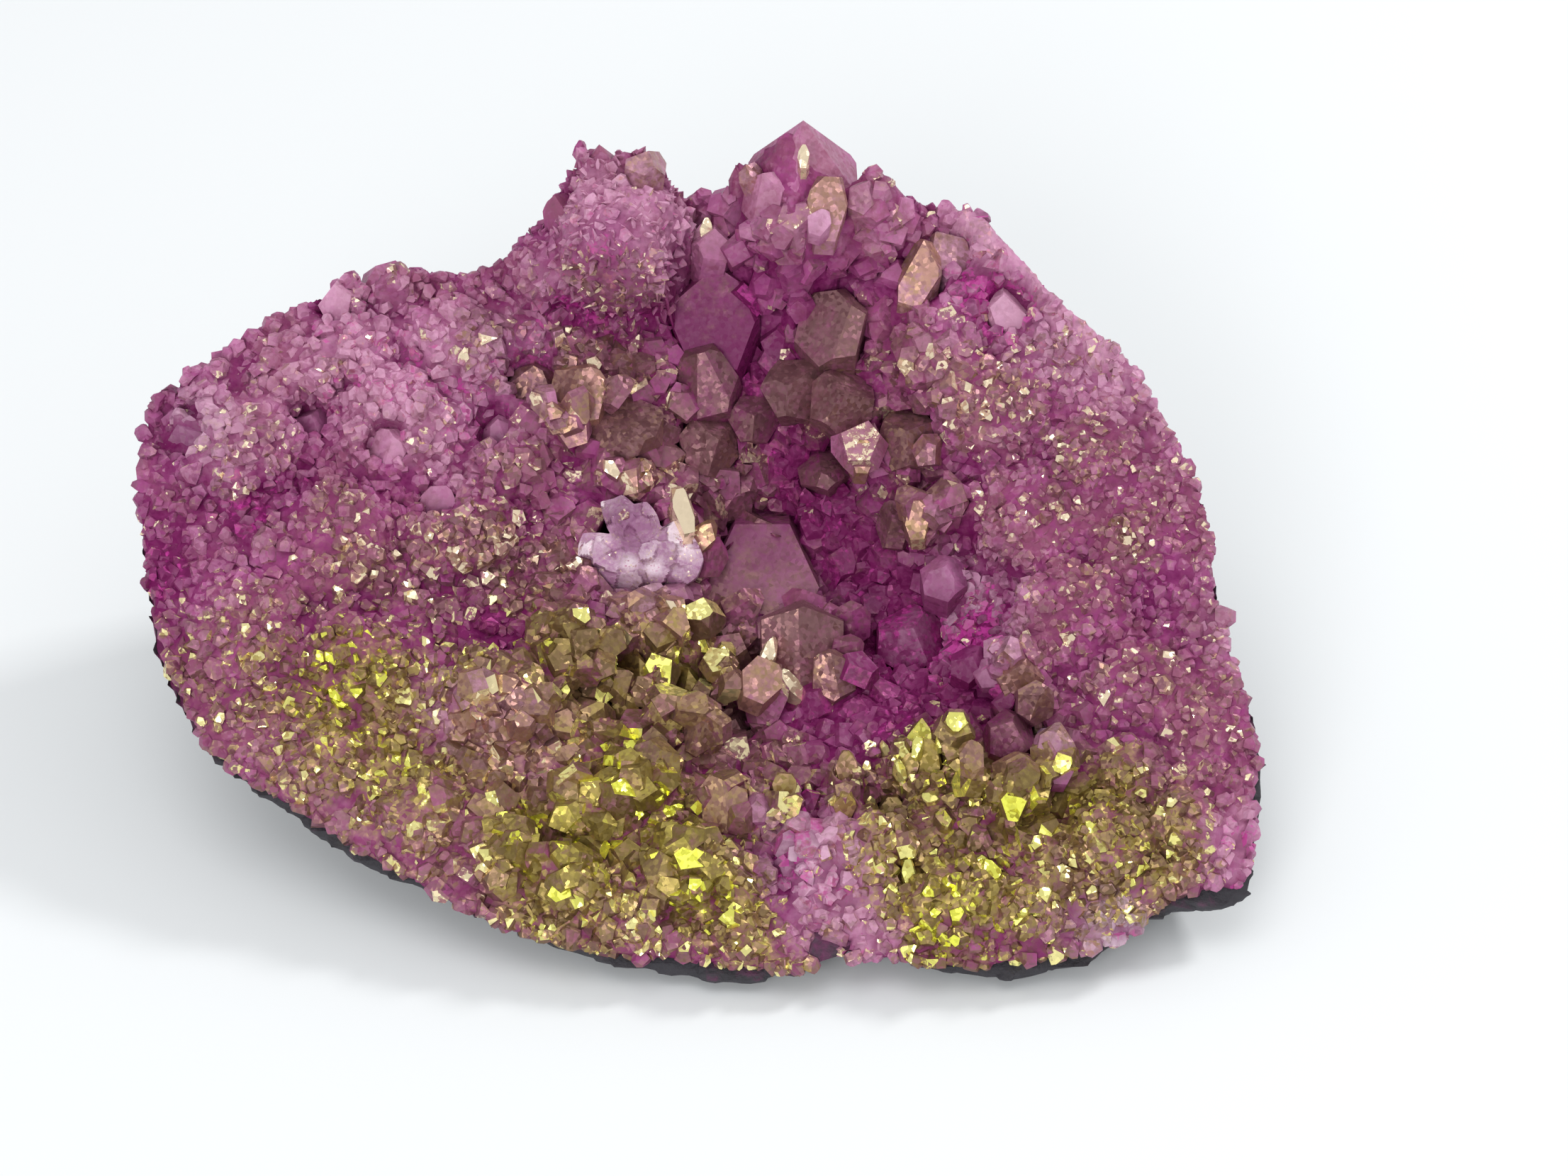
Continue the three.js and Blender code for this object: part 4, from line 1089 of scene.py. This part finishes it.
# %% Medium crystals
left = ~inside_crystals(open_points, block_rows, 0.75)
open_points, open_normals, coarse = open_points[left], open_normals[left], coarse[left]
medium_spacing = 1.1 + 0.9 * coarse
on_peaks = open_points[:, 1] > PEAKS_ABOVE + 1
medium_spacing[inside_crystals(open_points, large_rows, clearance=0.6) | on_peaks] = 0
chosen = spread_out(open_points, medium_spacing, seed=11)
chosen = chosen[np.random.default_rng(12).random(len(chosen)) < 0.3 + 0.5 * coarse[chosen]]
medium_radius = medium_spacing[chosen] * np.random.default_rng(13).uniform(0.45, 0.8, len(chosen))
medium_crystals, medium_rows = coat(
    "medium_crystals",
    open_points[chosen],
    open_normals[chosen],
    medium_radius,
    POINTED + SUGARY,
    seed=14,
    stand=0.6,
)

# %% Fine druse
SCATTER = 0.12  # mm, how far a grain may stray from its face's middle
SPHERE_AT, SPHERE_REACH = (-6.3, 25.5), 6.5  # the round growth at the top left
BANDS = ((-60, -12), (-12, 2), (2, 14), (14, 60))  # from v to v, so that no piece gets too heavy
left = ~inside_crystals(open_points, medium_rows, 0.8)
fine_points, fine_normals = open_points[left], open_normals[left]
fine_spacing = 0.45 + 0.35 * coarseness(fine_points)
chosen = spread_out(fine_points, fine_spacing, seed=21)
fine_rng = np.random.default_rng(22)
fine_points = fine_points[chosen] + SCATTER * fine_rng.normal(size=(len(chosen), 3))
fine_normals = fine_normals[chosen]
fine_radius = fine_spacing[chosen] * fine_rng.uniform(0.85, 1.6, len(chosen))
on_sphere = np.hypot(*(fine_points[:, :2] - SPHERE_AT).T) < SPHERE_REACH
fine_druse = []
for band, (low, high) in enumerate(BANDS):
    mine = (fine_points[:, 1] >= low) & (fine_points[:, 1] < high) & ~on_sphere
    grains = fine_points[mine], fine_normals[mine], fine_radius[mine]
    piece, _ = coat(f"fine_druse_{band + 1}", *grains, SUGARY, seed=30 + band, stand=0.38)
    fine_druse.append(piece)
grains = fine_points[on_sphere], fine_normals[on_sphere], 0.95 * fine_radius[on_sphere]
piece, _ = coat("sphere_druse", *grains, BLADED, seed=40, stand=0.65)
fine_druse.append(piece)

# %% [markdown]
# ## The rind
#
# The rind is the stone's outer skin: dark, dull and knobbly, one to three millimetres thick. Its CAD
# solid is smooth between its knobs, so a copy is remeshed finely and pitted with noise. Its rim follows
# the crust's nudges, apart from a few places where more or less of it shows. Along the sides and the
# top the crust hides its lip, so there it is let down a little and takes the dye's colour. It stands
# for the CAD rind.

# %% Rind with a rough skin
RIND_NUDGES = [
    (22, -27.5, 4, 0, -0.7), (-2, -28, 4, 0, -0.5), (9.2, -26.5, 3, 0, 1.2), (31.5, -27.5, 3, 0, 1.5),
    (40, -22, 5, -1, 0.2), (40.5, -16.5, 3, 0.8, -0.3), (36.5, -23, 3.5, 0, -0.9),
]
PIT_DEPTH = 0.28 * MM
PIT_SCALE = 500  # pits to the metre
LIP_DROP = 0.6 * MM
rind_mesh = rounded(merged_copy("rind"), voxel=0.0006, smoothing=2)
rind_normals = normals_of(rind_mesh)
rind_points = to_world(nudged(to_face(points_of(rind_mesh)), RIM_NUDGES + RIND_NUDGES))
pits = np.array([noise.fractal(PIT_SCALE * Vector(p), 1.0, 2.2, 4) for p in rind_points])
rind_points += (PIT_DEPTH * np.clip(pits, -1.2, 0.8))[:, None] * rind_normals
inner = smooth_step(rind_normals @ FACE_AXES[2], 0.1, 0.5)
inner *= smooth_step(to_face(rind_points)[:, 1], -14, -6)
rind_points -= LIP_DROP * inner[:, None] * FACE_AXES[2]
rind_points[:, 2] = np.maximum(rind_points[:, 2], 0)  # nothing sinks below the table
move_points(rind_mesh, rind_points)
rind_face = to_face(rind_points)
store(rind_mesh, "rim", smooth_step(rind_face[:, 2], -3.2, -1.2))
store(rind_mesh, "inner", inner)
rind_stone = link("rind_stone", rind_mesh)
print("rind:", len(rind_points), "vertices")

# %% [markdown]
# ## Shader arithmetic
#
# Materials are easier to read as sums than as wires. One small class wraps a socket, so that an
# expression such as 1 - rise adds the Math node it needs. Every other node comes from one method.


# %% Signals and finishes
class Signal:
    """A shader socket that takes part in arithmetic."""

    def __init__(self, finish, socket):
        self.finish, self.socket = finish, socket

    def _math(self, operation, first, second, clamp=False):
        settings = {"operation": operation, "use_clamp": clamp}
        return self.finish.node("ShaderNodeMath", settings, {0: first, 1: second})

    def __add__(self, other):
        return self._math("ADD", self, other)

    def __sub__(self, other):
        return self._math("SUBTRACT", self, other)

    def __rsub__(self, other):
        return self._math("SUBTRACT", other, self)

    def __mul__(self, other):
        return self._math("MULTIPLY", self, other)

    __radd__, __rmul__ = __add__, __mul__

    def clamped(self):
        """The signal, kept between 0 and 1."""
        return self._math("ADD", self, 0.0, clamp=True)


class Finish:
    """A material and the nodes it is made of."""

    def __init__(self, name):
        self.material = bpy.data.materials.new(name)
        self.material.use_nodes = True
        self.tree = self.material.node_tree
        self.tree.nodes.clear()

    def node(self, kind, settings=None, inputs=None, output=0):
        """Adds a node: its settings first, then its inputs, each a number, a colour or a signal."""
        made = self.tree.nodes.new(kind)
        for key, value in (settings or {}).items():
            if key == "stops":
                ramp = made.color_ramp
                while len(ramp.elements) < len(value):
                    ramp.elements.new(0.5)
                for element, (position, colour) in zip(ramp.elements, value):
                    element.position = position
                    element.color = (*colour, 1)
            else:
                setattr(made, key, value)
        for key, value in (inputs or {}).items():
            if isinstance(value, Signal):
                self.tree.links.new(value.socket, made.inputs[key])
            elif isinstance(value, tuple) and len(value) == 3 and made.inputs[key].type == "RGBA":
                made.inputs[key].default_value = (*value, 1)
            else:
                made.inputs[key].default_value = value
        return Signal(self, made.outputs[output]) if len(made.outputs) else None

    def told(self, name):
        """A value that the mesh keeps."""
        return self.node("ShaderNodeAttribute", {"attribute_name": name}, output=2)

    def place(self):
        """Where a point lies on its object, in metres."""
        return self.node("ShaderNodeTexCoord", output=3)

    def grain(self, scale, detail=3.0, roughness=0.6):
        """Noise with that many cells to the metre, round 0.5."""
        inputs = {"Vector": self.place(), "Scale": scale, "Detail": detail, "Roughness": roughness}
        return self.node("ShaderNodeTexNoise", {}, inputs)

    def between(self, factor, first, second):
        """A mix of two colours."""
        inputs = {0: factor, 6: first, 7: second}
        return self.node("ShaderNodeMix", {"data_type": "RGBA"}, inputs, output=2)

    def step(self, signal, low, high):
        """From 0 to 1 between two values of a signal, softly."""
        inputs = {"Value": signal, "From Min": low, "From Max": high}
        return self.node("ShaderNodeMapRange", {"interpolation_type": "SMOOTHSTEP"}, inputs)

    def tilted(self, colours, amount):
        """The surface's normal, tilted in each cell by the cell's own colour."""

        def vector(operation, inputs):
            return self.node("ShaderNodeVectorMath", {"operation": operation}, inputs)

        centred = vector("SUBTRACT", {0: colours, 1: (0.5, 0.5, 0.5)})
        offset = vector("SCALE", {0: centred, "Scale": 2 * amount})
        normal = self.node("ShaderNodeNewGeometry", output=1)
        return vector("NORMALIZE", {0: vector("ADD", {0: normal, 1: offset})})

    def surface(self, inputs):
        shader = self.node("ShaderNodeBsdfPrincipled", {}, inputs)
        self.node("ShaderNodeOutputMaterial", {}, {"Surface": shader})
        return self.material


# %% [markdown]
# ## Dyed quartz under a metal film
#
# The dye colours the quartz: pale mauve at the tips, deep magenta at the roots and in the valleys, and
# the roots also get painted shade, where crystals shade each other. Hot pink is painted on a few facets as
# sparks, where a facet sends light back through it. The film lies over the quartz in patches, tan on the
# upper growths, gold lower down and yellow-green in places, and a few of its facets get painted cream or
# yellow glints. Film is a metal, so where it lies the surface turns metallic and its colour moves into the
# reflection. Three finishes come from one function: one for the druse, one with calmer facets for the
# larger crystals, and one for the body, which has no facets of its own. Image textures would need a seam
# and a fixed sharpness, and noise has neither.

# %% Crystal finish
MAUVE = (0.30, 0.085, 0.16)
VIVID_PINK = (0.45, 0.085, 0.29)
PALE_PINK = (0.66, 0.34, 0.50)
LILAC = (0.40, 0.19, 0.33)
LILAC_WHITE = (0.88, 0.73, 0.80)
DEEP_MAGENTA = (0.16, 0.008, 0.085)
BROWN_FILM = (0.235, 0.117, 0.122)
OLIVE_FILM = (0.21, 0.15, 0.045)
TAN_FILM = (0.46, 0.25, 0.20)
GOLD_FILM = (0.42, 0.30, 0.11)
GREEN_FILM = (0.42, 0.362, 0.055)
CREAM_GLINT = (0.95, 0.78, 0.55)
HOT_PINK_SPARK = (0.55, 0.045, 0.32)
YELLOW_GLINT = (0.88, 0.88, 0.1)


def crystal_finish(name, faceted=True, rough_share=1.0, shine=0.35, mottle=310):
    finish = Finish(name)
    told = ("film", "green", "dye", "pale", "rise", "tone")
    film, green, dye, pale, rise, tone = (finish.told(key) for key in told)
    facet = finish.told("facet") if faceted else tone
    specks, patches, dust = finish.grain(2200), finish.grain(420, 4), finish.grain(9000, 2)
    hues, veil = finish.grain(250, 4, 0.7), finish.grain(mottle, 5, 0.75)
    cells = {"Vector": finish.place(), "Scale": 3200}
    flakes = finish.node("ShaderNodeTexVoronoi", {}, cells, output=1)  # one random colour for each cell
    flake = finish.node("ShaderNodeSeparateColor", {}, {"Color": flakes})
    flake = 0.5 + rough_share * (flake - 0.5)

    # the quartz: mauve to vivid pink, paler in the light, darker at the root with deeper dye and painted
    # shade, and painted hot pink sparks
    vivid = finish.step(hues + 0.4 * (specks - 0.5) + 0.2 * (dye - 0.3), 0.4, 0.68)
    lightness = 0.7 * pale + 0.3 * (tone - 0.5) + 0.25 * (facet - 0.5) + 0.8 * (specks - 0.5)
    lightness = lightness + 0.3 * (flake - 0.5) + 0.3 * (rise - 0.6) + 0.6 * (hues - 0.5)
    lightness = lightness.clamped()
    depth = 1.1 * dye + 0.6 * (1 - rise) + 0.9 * (patches - 0.5) + 0.6 * (specks - 0.5)
    depth = (depth - 0.25).clamped()
    quartz_colour = finish.between(vivid, MAUVE, VIVID_PINK)
    quartz_colour = finish.between(lightness, quartz_colour, PALE_PINK)
    lilac = finish.between(lightness, LILAC, LILAC_WHITE)
    quartz_colour = finish.between(finish.told("lilac"), quartz_colour, lilac)
    quartz_colour = finish.between(depth, quartz_colour, DEEP_MAGENTA)
    # hot pink sparks: painted light sent back through a facet
    hot_spark = 0.6 * dye + 0.5 * pale + 0.8 * facet + 0.9 * (specks - 0.5) + 0.4 * (flake - 0.5)
    hot_spark = finish.step(hot_spark, 1.15, 1.5)
    quartz_colour = finish.between(0.75 * hot_spark, quartz_colour, HOT_PINK_SPARK)

    # the film: dark where it is thin, tan to green where it is thick, and painted glints, bright on a few
    # facets
    film_ramp = finish.node(
        "ShaderNodeValToRGB",
        {"stops": [(0.0, TAN_FILM), (0.3, GOLD_FILM), (1.0, GREEN_FILM)]},
        {0: (green + 0.8 * (patches - 0.5) + 0.3 * (flake - 0.5)).clamped()},
    )
    light_film = 0.06 + 0.5 * (film - dye) + facet + 0.5 * (flake - 0.5) + 0.8 * (specks - 0.5)
    light_film = finish.step(light_film, 0.6, 1.4)
    dark_film = finish.between((2 * green).clamped(), BROWN_FILM, OLIVE_FILM)
    film_colour = finish.between(light_film, dark_film, film_ramp)

    # where the film lies over the quartz, and which facets get a painted glint
    cover = film + 0.5 * (facet - 0.5) + 1.6 * (veil - 0.5) + 0.6 * (specks - 0.5) + 0.5 * (rise - 0.72)
    cover = finish.step(cover + 0.3 * (flake - 0.5), 0.05, 1.0)
    glint = finish.step(facet + 0.12 * (flake - 0.5) + 0.3 * (cover - 0.5), 0.95, 1.0)
    glint_colour = finish.between((2.2 * green).clamped(), CREAM_GLINT, YELLOW_GLINT)
    film_colour = finish.between(glint, film_colour, glint_colour)
    colour = finish.between((cover + glint).clamped(), quartz_colour, film_colour)
    roughness = (0.5 - 0.12 * cover + 0.3 * (dust - 0.5) - 0.2 * glint).clamped()
    return finish.surface(
        {
            "Base Color": colour,
            "Metallic": 0.7 * cover,
            "Roughness": roughness,
            "Specular IOR Level": shine,
            "Normal": finish.tilted(flakes, 0.32 * rough_share),
        }
    )


dyed_crystal = crystal_finish("dyed_crystal")
dyed_facets = crystal_finish("dyed_facets", rough_share=0.6, mottle=900)
dyed_body = crystal_finish("dyed_body", faceted=False, shine=0.15)
body_piece = link("crust_body", crust_body)
larger = (large_crystals, broken_crystal, blocky_crystals)
smaller = (medium_crystals, *fine_druse)
for material, pieces in ((dyed_body, [body_piece]), (dyed_facets, larger), (dyed_crystal, smaller)):
    for piece in pieces:
        piece.data.materials.append(material)
print("finished", 1 + len(larger) + len(smaller), "crystal pieces")

# %% Rind finish
STONE_DARK = (0.022, 0.020, 0.026)
STONE_LIGHT = (0.055, 0.052, 0.062)
DYE_STAIN = (0.17, 0.02, 0.10)
stone = Finish("rind_stone")
blotches, pores = stone.grain(700, 5), stone.grain(4200, 3)
stain = stone.step(stone.told("rim") + 1.2 * (blotches - 0.5), 0.75, 1.1)
stone_colour = stone.between((1.3 * blotches + 0.6 * pores - 0.5).clamped(), STONE_DARK, STONE_LIGHT)
stone_colour = stone.between(0.7 * stain, stone_colour, DYE_STAIN)
stone_colour = stone.between(stone.told("inner"), stone_colour, DEEP_MAGENTA)
relief = {"Height": blotches + 0.5 * pores, "Strength": 0.7, "Distance": 0.3 * MM}
bumps = stone.node("ShaderNodeBump", {}, relief)
rind_stone.data.materials.append(
    stone.surface(
        {
            "Base Color": stone_colour,
            "Roughness": (0.75 + 0.4 * (pores - 0.5)).clamped(),
            "Normal": bumps,
        }
    )
)

# %% [markdown]
# ## Floor and light
#
# The stone lies on a plain white sweep under soft light. The main light comes from the upper right and
# is small enough to make the facets glint and to throw a soft shadow to the left. A wide softbox
# overhead and a pale sky fill the rest.

# %% Floor
FLOOR_HALF = 1.5
FLOOR_WHITE = (0.835, 0.855, 0.865)
floor_form = bmesh.new()
bmesh.ops.create_grid(floor_form, x_segments=1, y_segments=1, size=FLOOR_HALF)
floor_mesh = bpy.data.meshes.new("floor")
floor_form.to_mesh(floor_mesh)
floor_form.free()
floor = link("floor", floor_mesh)
sweep = Finish("white_sweep")
floor.data.materials.append(
    sweep.surface({"Base Color": FLOOR_WHITE, "Roughness": 0.75, "Specular IOR Level": 0.2})
)


# %% Lights
AIM_AT = Vector((0, 0, 0.015))
SKY_COLOUR = (0.97, 0.985, 1, 1)
SKY_STRENGTH = 0.64


def softbox(name, place, side, watts):
    """A square area light that looks at the stone."""
    data = bpy.data.lights.new(name, "AREA")
    data.shape = "SQUARE"
    data.size = side
    data.energy = watts
    lamp = bpy.data.objects.new(name, data)
    lamp.location = place
    lamp.rotation_euler = (AIM_AT - Vector(place)).to_track_quat("-Z", "Y").to_euler()
    bpy.context.scene.collection.objects.link(lamp)
    print(name, "at", place, "m,", watts, "W")


softbox("key_right", (0.42, 0.22, 0.42), 0.11, 1.4)
softbox("overhead", (-0.1, -0.1, 0.75), 0.5, 1.1)
softbox("front_fill", (-0.2, -0.6, 0.35), 0.3, 1.9)
world = bpy.data.worlds.new("pale_sky")
world.use_nodes = True
sky = world.node_tree.nodes["Background"].inputs
sky["Color"].default_value = SKY_COLOUR
sky["Strength"].default_value = SKY_STRENGTH
bpy.context.scene.world = world
bpy.context.scene.view_settings.view_transform = "Standard"

# %% [markdown]
# ## Hand the pieces over
#
# Every piece rides on the one body. The crust's body stands for the CAD crust and the pitted skin for
# the CAD rind.

# %% Ride and replace
for piece in (body_piece, *larger, *smaller):
    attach(piece, "root")
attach(rind_stone, "root")
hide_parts("crystal_crust")
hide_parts("rind")
